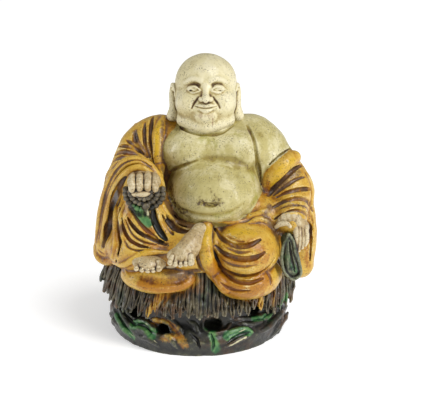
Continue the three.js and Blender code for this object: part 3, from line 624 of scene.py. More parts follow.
# the robe behind and at the sides: its edge runs from the robed shoulder to the bare arm
def drapeBack(clay):
    def across(lift, sag):
        xs = (-56, -28, 2, 34, 66)
        row = [point(x, 130, 176 - lift - 9 * i - sag * math.sin(i * math.pi / 4)) for i, x in enumerate(xs)]
        return clay.met(row, (0, -1, 0))

    hem = across(0, 2)
    grooves = [(across(13 * i, 4 + 3 * i), 2.6 - 0.5 * (i % 2)) for i in range(1, 8)]
    for side in (-1, 1):
        for i in range(5):
            y, top = 20 - 9 * i, 158 - 4 * i
            row = [point(side * 130, y, top), point(side * 130, y - 6, 120), point(side * 130, y - 4 - 3 * i, 80)]
            grooves.append((clay.met(row, (-side, 0, 0)), 2.3 - 0.5 * (i % 2)))
    clay.add(roll(hem, [3, 4, 4, 3]), 2, robe)
    for line, radius in grooves:
        clay.cut(roll(line, [radius * 0.4, radius, radius, radius, radius * 0.4]), 1.2)


# the head, in a finer clay of its own

head = {
    "grain": 0.55,
    "low": (-34, -42, 176),
    "high": (42, 40, 250),
    "middle": (3.9, 0, 212),
    "tilt": -13.0,  # thrown back a little
    "third": 16.0,  # hairline to brow, brow to nose and nose to chin are equal
    "brow": 5.0,
    "eyes": 0.0,  # half-way up the head
    "chin": -27.0,
    "eyeWidth": 10.2,
}


def modelHead(clay):
    middle = point(*head["middle"])
    a = math.radians(head["tilt"])
    across = np.array([[1, 0, 0], [0, math.cos(a), -math.sin(a)], [0, math.sin(a), math.cos(a)]])

    def inHead(x, y, z):
        return across @ point(x, y, z) + middle

    def on(x, z, proud=0.0):
        row = [inHead(x, -120, z), inHead(x, -120, z + 0.2)]
        return clay.met(row, across @ point(0, 1, 0), -proud)[0]

    clay.add(limb(point(4, -1, 172), point(4, -3, 196), 22, 20), 6, skin)
    clay.add(egg(middle, [25.6, 27, 26.5]), 4, skin)
    clay.add(egg(middle + [0.4, 0, 7.8], [25.0, 26.5, 22]), 4, skin)
    clay.add(egg(inHead(0, -5, -13), [25.2, 23.5, 17]), 6, skin)
    clay.add(hung([(-17, 62, -17), (4, 57, -26), (25, 62, -17)], [4, 5.4, 4]), 8, skin)
    brow, eyes, chin, eyeWidth = (head[key] for key in ("brow", "eyes", "chin", "eyeWidth"))
    noseBase = brow - head["third"]
    mouth = noseBase - head["third"] / 3
    nose = [on(0, brow - 3, -1), on(0, noseBase + 6, 1), on(0, noseBase + 2, 3)]
    upperLip = [on(-8, mouth + 1.4), on(-3, mouth + 1.8, 0.8), on(0, mouth + 1.2, 0.8), on(3, mouth + 1.8, 0.8),
                on(8, mouth + 1.4)]
    lowerLip = [on(-6, mouth - 0.8), on(0, mouth - 2.6, 1), on(6, mouth - 0.8)]
    parting = [on(-9, mouth + 1.4, 0.2), on(-4, mouth + 0.2, 1.6), on(0, mouth - 0.3, 2.2),
               on(4, mouth + 0.2, 1.6), on(9, mouth + 1.4, 0.2)]
    halves = []
    for side in (-1, 1):
        x = side * eyeWidth
        halves.append({
            "side": side,
            "ridge": [on(side * 4, brow + 1), on(side * 10, brow + 2.8), on(side * 17, brow)],
            "socket": on(side * (eyeWidth + 1), brow - 2.6, 1.6),
            "ball": on(x, eyes - 0.6, -1.9),
            "upper": [on(x - 5.8 * side, eyes - 1.8, 0.2), on(x - 2 * side, eyes + 0.9, 1.5),
                      on(x + 2 * side, eyes + 0.9, 1.4), on(x + 6.2 * side, eyes - 1.2, 0)],
            "lower": [on(x - 5 * side, eyes - 2.4, 0.1), on(x, eyes - 3.9, 0.8), on(x + 5.4 * side, eyes - 2, 0)],
            "slit": [on(x - 4.6 * side, eyes - 1.9, 0.6), on(x, eyes - 2.4, 1.7), on(x + 4.8 * side, eyes - 1.5, 0.5)],
            "cheek": on(side * 14.5, noseBase, -7),
            "wing": on(side * 3.7, noseBase + 1.8, 0.4),
            "nostril": on(side * 2.2, noseBase - 0.6, 2.6),
            "smile": [on(side * 6.4, noseBase + 3, 0.4), on(side * 10, noseBase - 2, 0.4), on(side * 11.5, mouth, 0.4)],
            "corner": on(side * 9.6, mouth + 1.6, 1.2),
        })
    clay.add(egg(on(0, chin + 4, -2.5), [8, 5.5, 5]), 4, skin)
    for half in halves:
        side = half["side"]
        clay.add(egg(half["cheek"], [9, 8.6, 9]), 5, skin)
        clay.cut(egg(half["socket"], [6.4, 2.8, 3]), 3)
        clay.add(roll(half["ridge"], [1, 1.6, 0.8]), 2.5)
        clay.add(egg(half["ball"], [5.4, 3.2, 3.4]), 0.8)
        clay.cut(roll(half["slit"], [0.4, 0.8, 0.4], 1.2), 0.4)
        clay.add(roll(half["upper"], [0.5, 0.9, 0.9, 0.5], 1.2), 0.7)
        clay.add(roll(half["lower"], [0.4, 0.6, 0.4], 1.2), 0.7)
        clay.cut(roll(half["smile"], [0.6, 1.1, 0.5], 1.5), 1.6)
        clay.add(egg(half["wing"], [2.4, 2.6, 2.0]), 1)
    clay.add(roll(nose, [1.8, 2.3, 3.2], 1.5), 2)
    clay.add(roll(upperLip, [0.6, 1.4, 1.3, 1.4, 0.6], 1.5), 0.9)
    clay.add(roll(lowerLip, [0.7, 1.9, 0.7], 1.5), 1)
    clay.cut(roll(parting, [0.4, 0.6, 0.7, 0.6, 0.4], 1.2), 0.4)
    for half in halves:
        clay.cut(egg(half["nostril"], [1.1, 1.4, 0.9]), 0.5)
        clay.cut(egg(half["corner"], [1.0, 1.0, 0.9]), 0.8)
        side = half["side"]
        # the long ears, whose lobes rest on the shoulders
        x = middle[0] + side * (24.9 if side > 0 else 25.6)
        shell = [(-0.6, -1, 212), (1.6, 3, 211), (2.2, 2, 205), (1.8, -3, 197), (2.6, -6, 190)]
        rim = [(-0.4, -6, 207), (0.4, -5, 212), (1.8, -1, 215.5), (2.6, 3.5, 213), (2.6, 4, 206), (2, 0, 198)]
        clay.add(roll([point(x + side * out, y, z) for out, y, z in shell], [2.4, 3.2, 3.2, 3.4, 5.0]), 1.2, skin)
        clay.add(roll([point(x + side * out, y, z) for out, y, z in rim], [1.2, 1.6, 1.8, 1.8, 1.6, 1.2], 2), 0.7, skin)
        clay.cut(roll([point(x + 1.6 * side, -4.5, 210), point(x + 1.4 * side, -4, 203)], [1.9, 1.3], 2), 0.8)
    return inHead


# hands, beads, bag and feet, each in a finer clay of its own

small = {
    "grain": 0.36,
    "fist": ((-76, -84, 98), (-24, -30, 168)),
    "resting": ((58, -80, 46), (102, -20, 130)),
    "feet": ((-72, -104, 52), (18, -36, 126)),
}


# the raised fist, with its fingers curled over a string of beads
def modelFist(clay):
    clay.add(egg(seen(-50, 9.5, -54), [14, 13, 9]), 2, hand)
    clay.add(egg(seen(-50, -2, -54), [14, 10, 11]), 2, beads)
    for i, x in enumerate((-60.5, -53.6, -46.6, -40)):
        drop = 0.9 * abs(i - 1.6)
        knuckle = [(x * 0.9 - 5, 15.5 - drop, -56), (x, 12 - drop, -64), (x, 7 - drop, -68.5), (x, 3 - drop * 0.4, -67.5)]
        clay.add(hung(knuckle, [3.0, 3.7, 3.5, 2.8], 1.5), 0.5, hand)
    for x in (-57, -50.1, -43.3):
        clay.crease([[(x, 12.5), (x, 7), (x, 1.5)]], 0.8, 1.6, 0.6)
    # the thumb lies across below the fingers
    clay.add(hung([(-63, 1, -60), (-57, -1, -66), (-49, -1.2, -68), (-42, 0.5, -66)], [2.6, 3.0, 2.6, 1.8], 1.5), 0.5, hand)
    for count, wide, high, depth, size in ((13, 16.2, 14, -60, 2.9), (10, 11.5, 9.5, -64.5, 2.6), (6, 6, 5.5, -67, 2.3)):
        for i in range(count + 1):
            a = math.pi * (0.94 + 1.12 * i / count)
            place = seen(-49.8 + wide * math.cos(a), -0.5 + high * math.sin(a), depth)
            clay.add(egg(place, [size] * 3), 0.4, beads)
    clay.add(egg(seen(-48, -12, -66), [3.4, 3.4, 3.4]), 0.5, beads)
    clay.add(hung([(-48, -15, -64), (-46, -21, -61), (-42, -28, -58)], [1.9, 1.6, 1.2], 1.5), 0.5, beads)


# the hand that hangs over the knee, its thumb over the neck of a green bag
def modelResting(clay):
    clay.add(hung([(67, -28, -50), (73, -24, -54), (81, -24, -53), (87, -31, -51)], [3, 5, 6.4, 6.6]), 1.2, hand)
    clay.add(hung([(65, -31, -56), (69, -28.5, -60), (74.5, -28, -62), (77, -30.5, -62)],
                  [1.5, 2.2, 2.3, 1.7], 1.5), 0.6, hand)
    for i in range(4):
        finger = [(82.5 + 2.5 * i, -31, -56 + 0.5 * i), (83 + 2.8 * i, -42, -59), (81.5 + 3 * i, -54 + 2.5 * i, -58.5)]
        clay.add(hung(finger, [2.9, 2.5, 1.7], 1.5), 0.4, hand)
    clay.add(limb(seen(75.5, -42, -56), seen(78.5, -67, -58), 6, 8.5), 1, bag)
    rim = [(76, -38, -60), (71.5, -47, -61), (69.8, -59, -63), (72.5, -70.5, -65), (79.5, -76.5, -66), (86, -72.5, -65),
           (85, -63, -64), (81.5, -53, -63), (79.8, -43, -61), (76, -38, -60)]
    clay.cut(limb(seen(76, -46, -65), seen(79, -67, -69), 2.6, 4.6), 0.8, bag)
    clay.add(hung(rim, [1.4] * 5, 1.5), 0.6, bag)
    clay.crease([[(76.5, -44), (78, -56), (81, -70)]], 0.9, 0.9)
    # a pocket under the thumb, marked hollow for painted shade
    clay.cut(egg(seen(74.5, -34, -60), [3.2, 5, 2.0]), 0.8, hollow)


# the near leg and foot, half under the robe, and the far foot under the hem
def modelFeet(clay):
    clay.add(hung([(-1, -35, -60), (-8, -45, -70), (-16, -54.5, -78)], [7.5, 9.2, 9.0]), 2.5, hand)
    clay.add(egg(seen(-18.5, -57, -79), [11.5, 9, 6.5], [0, 12, 0]), 2.5, hand)
    clay.add(egg(seen(-46, -61, -71), [14, 14, 7], [0, 8, 0]), 2.5, hand)
    clay.add(limb(seen(-44, -68, -62), seen(-18, -60, -67), 5, 5), 2, hand)
    for i in range(5):
        bow = (i - 2) * (i - 2) * 0.45
        size = 2.9 if i == 4 else 2.3
        near = [(-25.5 + 4.0 * i, -56.5, -85), (-27.5 + 4.5 * i, -63.5 + bow, -87.5)]
        far = [(-55.5 + 4.3 * i, -62, -79), (-57 + 4.9 * i, -68.5 + bow, -82.5)]
        for toe in (near, far):
            clay.add(hung(toe, [size - 0.2, size], 1.5), 0.3, hand)
            ahead = np.array(toe[1]) - (0, -1.2, 2.0)
            clay.add(egg(seen(*ahead), [size * 0.62, 1.2, size * 0.5]), 0.3, hand)


# from clay to mesh

latticeSize = 32
lattice = rng.random((latticeSize,) * 3).astype(np.float32)


def noise(p, scale, offset=0.0):
    g = p / scale + offset
    i = np.floor(g).astype(int)
    f = g - i
    f = f * f * (3 - 2 * f)
    total = 0
    for a in (0, 1):
        for b in (0, 1):
            for c in (0, 1):
                share = 1
                for axis, corner in enumerate((a, b, c)):
                    share = share * (f[:, axis] if corner else 1 - f[:, axis])
                j = (i + (a, b, c)) % latticeSize
                total = total + share * lattice[j[:, 0], j[:, 1], j[:, 2]]
    return total * 2 - 1


def meshOf(name, clay, triangles, lumps, floor=None):
    if floor is not None:
        z = clay.places([slice(0, n) for n in clay.count])[2]
        clay.value = np.maximum(clay.value, floor - z)
    grid = vdb.FloatGrid(3.0)
    grid.copyFromArray(clay.value.clip(-3, 3))
    points, quads = grid.convertToQuads(isovalue=0.0)
    points = points * clay.grain + clay.low
    mesh = bpy.data.meshes.new(name)
    mesh.from_pydata([], [], [])
    mesh = fillMesh(mesh, points, quads)
    normals = np.zeros(len(points) * 3, np.float32)
    mesh.vertices.foreach_get("normal", normals)
    normals = normals.reshape(-1, 3)
    for scale, height in lumps:
        points = points + normals * (noise(points, scale, scale) * height)[:, None]
    if floor is not None:
        points[:, 2] = np.maximum(points[:, 2], floor)
    mesh.vertices.foreach_set("co", points.astype(np.float32).ravel())
    mesh.update()
    piece = bpy.data.objects.new(name, mesh)
    bpy.context.scene.collection.objects.link(piece)
    many = len(quads) * 2
    if many > triangles:
        thin = piece.modifiers.new("thin", "DECIMATE")
        thin.ratio = triangles / many
        bpy.context.view_layer.update()
        done = bpy.data.meshes.new_from_object(piece.evaluated_get(bpy.context.evaluated_depsgraph_get()))
        piece.modifiers.clear()
        piece.data = done
    largest(piece)
    print(name, "quads", len(quads), "triangles", len(piece.data.polygons))
    return piece


def fillMesh(mesh, points, quads):
    mesh.vertices.add(len(points))
    mesh.vertices.foreach_set("co", points.astype(np.float32).ravel())
    mesh.loops.add(quads.size)
    mesh.loops.foreach_set("vertex_index", quads.astype(np.int32).ravel())
    mesh.polygons.add(len(quads))
    mesh.polygons.foreach_set("loop_start", np.arange(0, quads.size, 4, dtype=np.int32))
    mesh.update(calc_edges=True)
    mesh.validate()
    return mesh


# keeps the largest connected shell, so that no crumbs float beside it
def largest(piece):
    mesh = piece.data
    ends = np.zeros(len(mesh.edges) * 2, np.int32)
    mesh.edges.foreach_get("vertices", ends)
    a, b = ends.reshape(-1, 2).T
    group = np.arange(len(mesh.vertices))
    while True:
        least = np.minimum(group[a], group[b])
        before = group.copy()
        np.minimum.at(group, a, least)
        np.minimum.at(group, b, least)
        group = group[group]
        if (group == before).all():
            break
    count = np.bincount(group)
    drop = np.flatnonzero(group != count.argmax())
    if len(drop):
        bm = bmesh.new()
        bm.from_mesh(mesh)
        bm.verts.ensure_lookup_table()
        bmesh.ops.delete(bm, geom=[bm.verts[i] for i in drop], context="VERTS")
        bm.to_mesh(mesh)
        bm.free()
    print(piece.name, "crumbs removed", len(drop))


def placesOf(mesh, what="co"):
    values = np.zeros(len(mesh.vertices) * 3, np.float32)
    mesh.vertices.foreach_get(what, values)
    return values.reshape(-1, 3)


def smoothed(mesh, values, rounds):
    ends = np.zeros(len(mesh.edges) * 2, np.int32)
    mesh.edges.foreach_get("vertices", ends)
    a, b = ends.reshape(-1, 2).T
    count = np.bincount(np.concatenate([a, b]), minlength=len(values)).clip(1)
    columns = values.reshape(len(values), -1).astype(float)
    for _ in range(rounds):
        total = [np.bincount(a, column[b], len(values)) + np.bincount(b, column[a], len(values))
                 for column in columns.T]
        columns = 0.5 * columns + 0.5 * np.column_stack(total) / count[:, None]
    return columns.reshape(values.shape)


def attribute(mesh, name, values):
    made = mesh.attributes.new(name, "FLOAT", "POINT")
    made.data.foreach_set("value", np.asarray(values, np.float32))


# how hollow the surface is at two scales, positive in creases and negative on ridges
def markHollows(mesh, fine, coarse):
    places, normals = placesOf(mesh), placesOf(mesh, "normal")
    ends = np.zeros(len(mesh.edges) * 2, np.int32)
    mesh.edges.foreach_get("vertices", ends)
    a, b = ends.reshape(-1, 2).T
    edge = np.linalg.norm(places[a] - places[b], axis=1).mean()
    near = smoothed(mesh, places, max(2, round((fine / edge) ** 2)))
    wide = smoothed(mesh, near, max(6, round((coarse / edge) ** 2)))
    crease = ((near - places) * normals).sum(axis=1) / (0.125 * fine)
    basin = ((wide - places) * normals).sum(axis=1) / (0.157 * coarse)
    attribute(mesh, "crease", crease)
    attribute(mesh, "basin", basin)


def markZones(mesh, clay, names):
    places = placesOf(mesh)
    i = np.rint((places - clay.low) / clay.grain).astype(int).clip(0, clay.count - 1)
    zone = clay.zone[i[:, 0], i[:, 1], i[:, 2]]
    masks = np.column_stack([zone == zones[name] for name in names]).astype(float)
    masks = smoothed(mesh, masks, 3)
    for name, mask in zip(names, masks.T):
        attribute(mesh, name, mask)


# a brush stroke of colour: a line drawn on the board or given in space, a width and a soft edge
def brushed(places, line, width, soft):
    low, high = line.min(axis=0) - width - soft, line.max(axis=0) + width + soft
    inside = np.flatnonzero(((places > low) & (places < high)).all(axis=1))
    mask = np.zeros(len(places))
    if len(inside) == 0:
        return mask
    p = places[inside].astype(float)
    least = np.full(len(p), 1e9)
    for a, b in zip(line[:-1], line[1:]):
        axis = b - a
        t = ((p - a) @ axis / max(axis @ axis, 1e-9)).clip(0, 1)
        least = np.minimum(least, np.linalg.norm(p - a - t[:, None] * axis, axis=1))
    share = ((width + soft - least) / (2 * soft)).clip(0, 1)
    mask[inside] = share * share * (3 - 2 * share)
    return mask


# colours washed over the glaze, some of them painted shade and painted highlights: lines on the board with a width, a
# soft edge and a strength
washes = {
    "green": [
        ([(-57, -15), (-52, -21), (-47, -27)], 4.5, 3.0, 0.9),
        ([(-50, -18), (-48, -26)], 3.0, 3.0, 0.5),
        ([(75, -57), (78, -64), (81, -69)], 2.0, 4.0, 0.75),
        ([(-58, -116), (-50, -118), (-43, -124)], 5.0, 2.5, 1.0),
        ([(-75, -106), (-68, -116), (-60, -126)], 3.6, 2.5, 0.9),
        ([(22, -126), (31, -123), (41, -122)], 4.0, 2.5, 1.0),
        ([(9, -124), (11, -131), (12, -138)], 4.0, 3.0, 0.9),
        ([(44, -112), (54, -110), (62, -105)], 2.6, 2.0, 0.9),
        ([(58, -110), (68, -100), (74, -92)], 4.0, 3.0, 0.7),
        ([(2, -118), (6, -122)], 3.0, 3.0, 0.5),
        ([(-84, -92), (-77, -100)], 3.0, 3.0, 0.35),
    ],
    # painted shade: near-black strokes in a deep lap groove, under the raised fist, at the belly's left edge, in a gap
    # under the leaves and on the foot below the leaf tips
    "dark": [
        ([(-44, -13), (-42, -24), (-38, -33), (-33, -41)], 3.6, 2.0, 1.0),
        ([(-62, -13), (-56, -19), (-48, -19), (-42, -16)], 2.6, 2.0, 0.8),
        ([(0, -116), (12, -114), (22, -113)], 5.0, 4.0, 0.8),
        ([(-62, -104), (-50, -104)], 4.0, 3.0, 0.8),
        ([(-28, -5), (-24, -12), (-14, -17)], 3.5, 5.0, 0.55),
    ],
    "amber": [
        ([(12, -66), (26, -84), (42, -86), (54, -76)], 9.0, 6.0, 0.9),
        ([(16, -56), (30, -62), (46, -60)], 4.0, 4.0, 0.6),
        ([(-36, -90), (-42, -100), (-47, -105)], 4.0, 2.5, 0.9),
        ([(-30, -90), (-32, -98)], 2.5, 2.5, 0.6),
        ([(52, -86), (51, -101)], 2.6, 2.0, 0.9),
        ([(62, -84), (62, -100)], 2.6, 2.0, 0.5),
        ([(-42, -112), (-30, -113), (-22, -120)], 3.0, 2.5, 0.7),
        ([(-34, -128), (-20, -126), (-16, -134)], 4.0, 3.5, 0.6),
        ([(-55, -17), (-50, -28), (-44, -36)], 4.0, 3.0, 0.8),
        ([(-60, -44), (-50, -46), (-34, -48)], 2.6, 2.5, 0.7),
        ([(-88, -58), (-78, -62)], 4.0, 4.0, 0.7),
        ([(57, -2), (58, 8)], 2.6, 2.5, 0.8),
        ([(-52, -80), (-34, -84), (-16, -82), (-6, -76)], 5.0, 4.0, 0.9),
        ([(-62, -20), (-66, -34), (-60, -46)], 3.5, 4.0, 0.7),
        ([(-72, -34), (-76, -50), (-86, -54)], 4.0, 4.0, 0.6),
        ([(36, -44), (50, -50), (56, -60)], 5.0, 6.0, 0.7),
        ([(64, -6), (76, 0), (90, -2)], 3.0, 4.0, 0.5),
        ([(70, -18), (84, -12)], 3.0, 4.0, 0.4),
        ([(91, -50), (92, -66)], 3.0, 4.0, 0.7),
        ([(-46, 58), (-46, 40)], 2.5, 3.0, 0.5),
        ([(-70, 32), (-58, 34)], 2.5, 3.0, 0.5),
        ([(-80, 6), (-87, -20), (-90, -44)], 2.0, 3.0, 0.4),
    ],
    "yellow": [
        ([(-36, 62), (-39, 48), (-40, 34)], 3.0, 2.5, 0.9),
        ([(62, 8), (70, 18), (80, 26)], 4.0, 2.5, 1.0),
        ([(5, -32), (4, -44)], 4.0, 3.0, 0.8),
        ([(6, -62), (12, -70)], 5.0, 3.0, 0.9),
        ([(26, -34), (44, -36)], 5.0, 4.0, 0.7),
        ([(20, -52), (30, -55)], 2.6, 2.5, 0.5),
        ([(-62, -60), (-52, -52)], 4.0, 4.0, 0.5),
    ],
    # partly bare brown clay and partly painted shade: strokes down the sleeve's hollow, between the lapel and the
    # chest, under the belly and in other grooves
    "brown": [
        ([(-66, 13), (-71.5, 4), (-75.5, -8), (-78.5, -22), (-81.5, -34), (-85, -47)], 2.6, 2.0, 1.0),
        ([(-33, 62), (-34.5, 50), (-34, 30), (-33, 15)], 2.0, 2.5, 0.8),
        ([(-32, -4), (-27, -17), (-16, -28), (-4, -31)], 3.4, 3.0, 1.0),
        ([(-28, -24), (-22, -34), (-14, -36)], 4.0, 3.0, 0.9),
        ([(-30, -71), (-14, -72), (-3, -68)], 4.0, 4.0, 0.8),
        ([(60, -14), (56, -22), (62, -30), (66, -45)], 3.5, 4.0, 0.8),
        ([(-70, -30), (-70, -45), (-74, -58)], 2.0, 2.0, 0.8),
        ([(9.5, -36), (10, -48), (14, -60)], 2.0, 2.0, 0.8),
        ([(50, 20), (54, 6)], 2.0, 3.0, 0.8),
        ([(62, -2), (74, 9), (86, 17)], 2.4, 2.0, 0.7),
        ([(66, -16), (78, -12), (88, -13)], 2.0, 2.0, 0.6),
        ([(-57, 52), (-55, 44)], 3.0, 2.5, 0.8),
    ],
    "olive": [
        ([(-14, 4), (8, 4), (32, 0)], 13.0, 13.0, 1.0),
        ([(-18, -12), (8, -18), (36, -12)], 7.0, 8.0, 1.0),
        ([(-20, 30), (0, 34), (24, 36), (38, 30)], 4.0, 10.0, 0.6),
        ([(-24, 44), (-26, 56)], 3.0, 8.0, 0.5),
        ([(4, 30), (20, 30)], 3.0, 6.0, 0.5),
        ([(46, 36), (50, 18), (54, 2)], 4.0, 6.0, 0.7),
    ],
    "moss": [
        ([(2, 47), (10, 43)], 4.0, 7.0, 0.7),
        ([(14, -20), (24, -18)], 4.0, 6.0, 0.5),
        ([(44, 16), (48, -2), (42, -14)], 3.0, 5.0, 0.5),
        ([(30, 52), (36, 44)], 3.0, 6.0, 0.4),
    ],
    # painted shade with some speckled dirt: mottled brown strokes along the navel, the armpit crease, under the belly
    # fold, at the belly's left edge and under the chin
    "shade_and_grime": [
        ([(-27, 4), (-24, -10), (-14, -18)], 5.0, 7.0, 0.85),
        ([(0, -9), (8, -11), (16, -9)], 3.5, 5.0, 0.75),
        ([(8, 4), (10, -3)], 2.0, 4.0, 0.5),
        ([(49, 24), (51, 12), (53, 0)], 2.5, 4.0, 0.7),
        ([(30, 26), (40, 22)], 3.0, 6.0, 0.45),
        ([(-26, 60), (-24, 64)], 3.0, 3.0, 0.7),
    ],
    "stain": [
        ([(-1, 66), (5, 67), (9, 66)], 1.6, 5.0, 0.55),
        ([(9.5, 66), (10, 62), (10, 58)], 0.7, 1.6, 0.9),
    ],
    # painted highlights: pale streaks along the glossy ridges of the foot and a few other places
    "painted_glint": [
        ([(-71, -108), (-66, -112)], 0.6, 0.6, 1.0),
        ([(-68, -108), (-63, -113)], 0.5, 0.6, 1.0),
        ([(-43, -128), (-38, -134)], 0.4, 0.5, 0.8),
        ([(-50, -114), (-43, -119)], 0.5, 0.6, 0.7),
        ([(24, -135), (31, -131), (39, -127)], 0.7, 0.6, 1.0),
        ([(28, -124), (38, -120)], 0.5, 0.6, 0.7),
        ([(-62, -124), (-56, -130)], 0.5, 0.6, 0.7),
        ([(24, -92), (22, -100)], 0.5, 0.6, 0.6),
        ([(19, -98), (19, -104)], 0.7, 0.6, 0.7),
        ([(-47, -14), (-46.5, -20)], 1.2, 1.6, 0.8),
    ],
}


def markWashes(mesh, clay):
    places = placesOf(mesh)
    for name, strokes in washes.items():
        total = np.zeros(len(places))
        for curve, width, soft, strength in strokes:
            line = clay.laid(curve)
            if len(line) > 1:
                total = np.maximum(total, brushed(places, line, width, soft) * strength)
        attribute(mesh, name, total)


# make the clays

cadLow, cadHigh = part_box("buddha_figure")
cadMiddle = (cadLow + cadHigh) / 2

print("stage: seat")
seatClay = Clay(seat["low"], seat["high"], seat["grain"])
modelFoot(seatClay)
modelLeaves(seatClay)

print("stage: body")
body = {
    "grain": 0.72,
    "low": (-108, -100, 26),
    "high": (108, 90, 196),
}
bodyClay = Clay(body["low"], body["high"], body["grain"])
modelHips(bodyClay)
modelTrunk(bodyClay)
modelArms(bodyClay)
drapeBack(bodyClay)
drapeSleeve(bodyClay)
drapeArm(bodyClay)
drapeLap(bodyClay)

print("stage: head")
headClay = Clay(head["low"], head["high"], head["grain"])
modelHead(headClay)

print("stage: hands and feet")
fistClay, restingClay, feetClay = (Clay(*small[key], small["grain"]) for key in ("fist", "resting", "feet"))
modelFist(fistClay)
modelResting(restingClay)
modelFeet(feetClay)

print("stage: meshes")
made = {  # clay, most triangles, lumpiness as size and height, floor, scales of hollows, glazes
    "leaf_seat": (seatClay, 195000, [(9, 0.5), (3.5, 0.3)], seat["sole"], (1.8, 6), ["leaf", "foot", "hollow"]),
    "monk_body": (bodyClay, 195000, [(14, 0.5), (5, 0.22)], None, (2.4, 7), ["skin", "robe", "hollow"]),
    "monk_head": (headClay, 150000, [(12, 0.25), (4, 0.1)], None, (1.5, 5), ["skin"]),
    "beaded_fist": (fistClay, 90000, [(6, 0.25), (2.5, 0.15)], None, (1.4, 4.5), ["hand", "beads"]),
    "resting_hand": (restingClay, 90000, [(6, 0.25), (2.5, 0.15)], None, (1.4, 4.5), ["hand", "bag", "hollow"]),
    "bare_feet": (feetClay, 90000, [(7, 0.3), (3, 0.2)], None, (1.6, 5), ["hand"]),
}
pieces = {}
for name, (clay, triangles, lumps, floor, scales, glazes) in made.items():
    piece = meshOf(name, clay, triangles, lumps, floor)
    markHollows(piece.data, *scales)
    markZones(piece.data, clay, glazes)
    markWashes(piece.data, clay)
    pieces[name] = piece

# the clay's frame is moved so that its box stands where the CAD box does
lows = np.min([placesOf(p.data).min(axis=0) for p in pieces.values()], axis=0)
highs = np.max([placesOf(p.data).max(axis=0) for p in pieces.values()], axis=0)
print("clay box", lows.round(2), highs.round(2), "cad", [round(v * 1000, 2) for v in (*cadLow, *cadHigh)])
shift = np.array([-3.18, 2.2, -seat["sole"]])
for piece in pieces.values():
    places = (placesOf(piece.data) + shift) * millimetre
    piece.data.vertices.foreach_set("co", places.astype(np.float32).ravel())
    piece.data.update()
    piece.data.shade_smooth()
    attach(piece, "root")
    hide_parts("buddha_figure")

# glazes

class Wire:
    def __init__(self, tree, socket=None):
        self.tree = tree
        self.socket = socket

    def node(self, kind, settings, values, output=0):
        made = self.tree.nodes.new("ShaderNode" + kind)
        for name, setting in settings.items():
            setattr(made, name, setting)
        for name, value in values.items():
            if isinstance(value, Wire):
                self.tree.links.new(value.socket, made.inputs[name])
            else:
                made.inputs[name].default_value = value
        return Wire(self.tree, made.outputs[output])

    def math(self, operation, first, second):
        return self.node("Math", {"operation": operation}, {0: first, 1: second})

    def __add__(self, other):
        return self.math("ADD", self, other)

    def __radd__(self, other):
        return self.math("ADD", other, self)

    def __sub__(self, other):
        return self.math("SUBTRACT", self, other)

    def __rsub__(self, other):
        return self.math("SUBTRACT", other, self)

    def __mul__(self, other):
        return self.math("MULTIPLY", self, other)

    def __rmul__(self, other):
        return self.math("MULTIPLY", other, self)

    def __neg__(self):
        return self.math("MULTIPLY", self, -1.0)

    def over(self, low, high):  # 0 below low and 1 above high, smooth between
        return self.node("MapRange", {"interpolation_type": "SMOOTHSTEP"},
                         {"Value": self, "From Min": low, "From Max": high}, "Result")

    def most(self, other):
        return self.math("MAXIMUM", self, other)

    def blend(self, under, on):  # on shows where this mask is 1
        return self.node("Mix", {"data_type": "RGBA"}, {0: self, 6: under, 7: on}, 2)


palette = {  # as seen on a screen, 0 to 255
    "headCream": (250, 240, 200), "headMid": (238, 226, 176), "headLow": (192, 172, 112),
    "cream": (232, 222, 172), "celadon": (204, 191, 124), "olive": (166, 148, 72), "moss": (172, 168, 60),
    # the darkest brown of the skin colours pits and painted shade at the bottoms of creases
    "shade": (128, 102, 60), "pitAndShadeBrown": (74, 48, 28),
    "crest": (244, 222, 158), "ochre": (226, 184, 74), "tan": (204, 150, 38), "umber": (162, 110, 34),
    "trough": (118, 86, 56), "deep": (46, 29, 17), "yellow": (228, 184, 40), "amber": (190, 126, 14),
    "amberDeep": (132, 74, 8),
    # the near-black of the hands, beads and bag colours pits and painted shade at the bottoms of grooves
    "buffPale": (232, 216, 176), "buff": (194, 168, 120), "buffShade": (112, 84, 54), "shadeAndPitBlack": (34, 27, 20),
    "beadPale": (150, 138, 108), "beadGrey": (88, 78, 58), "beadDark": (36, 31, 23),
    "bagPale": (150, 152, 122), "bagGreen": (74, 84, 58), "bagDark": (28, 32, 20),
    "leafPale": (168, 160, 128), "leafGrey": (108, 99, 74), "leafBrown": (64, 54, 34), "leafDark": (20, 18, 12),
    "rockPale": (116, 114, 84), "rock": (48, 49, 38), "rockBrown": (84, 60, 36), "rockDark": (16, 16, 12),
    "green": (36, 104, 52), "greenPale": (110, 160, 92), "greenDark": (18, 48, 26), "bottle": (26, 28, 18),
    # the pale cream after rust is the colour of painted highlights
    "rust": (136, 66, 44), "painted_glint": (214, 210, 168),
}
strength = 0.80  # of every colour, as the studio is bright


def paint(name):
    steps = [c / 255 for c in palette[name]]
    linear = [c / 12.92 if c < 0.04045 else ((c + 0.055) / 1.055) ** 2.4 for c in steps]
    return (*[c * strength for c in linear], 1.0)


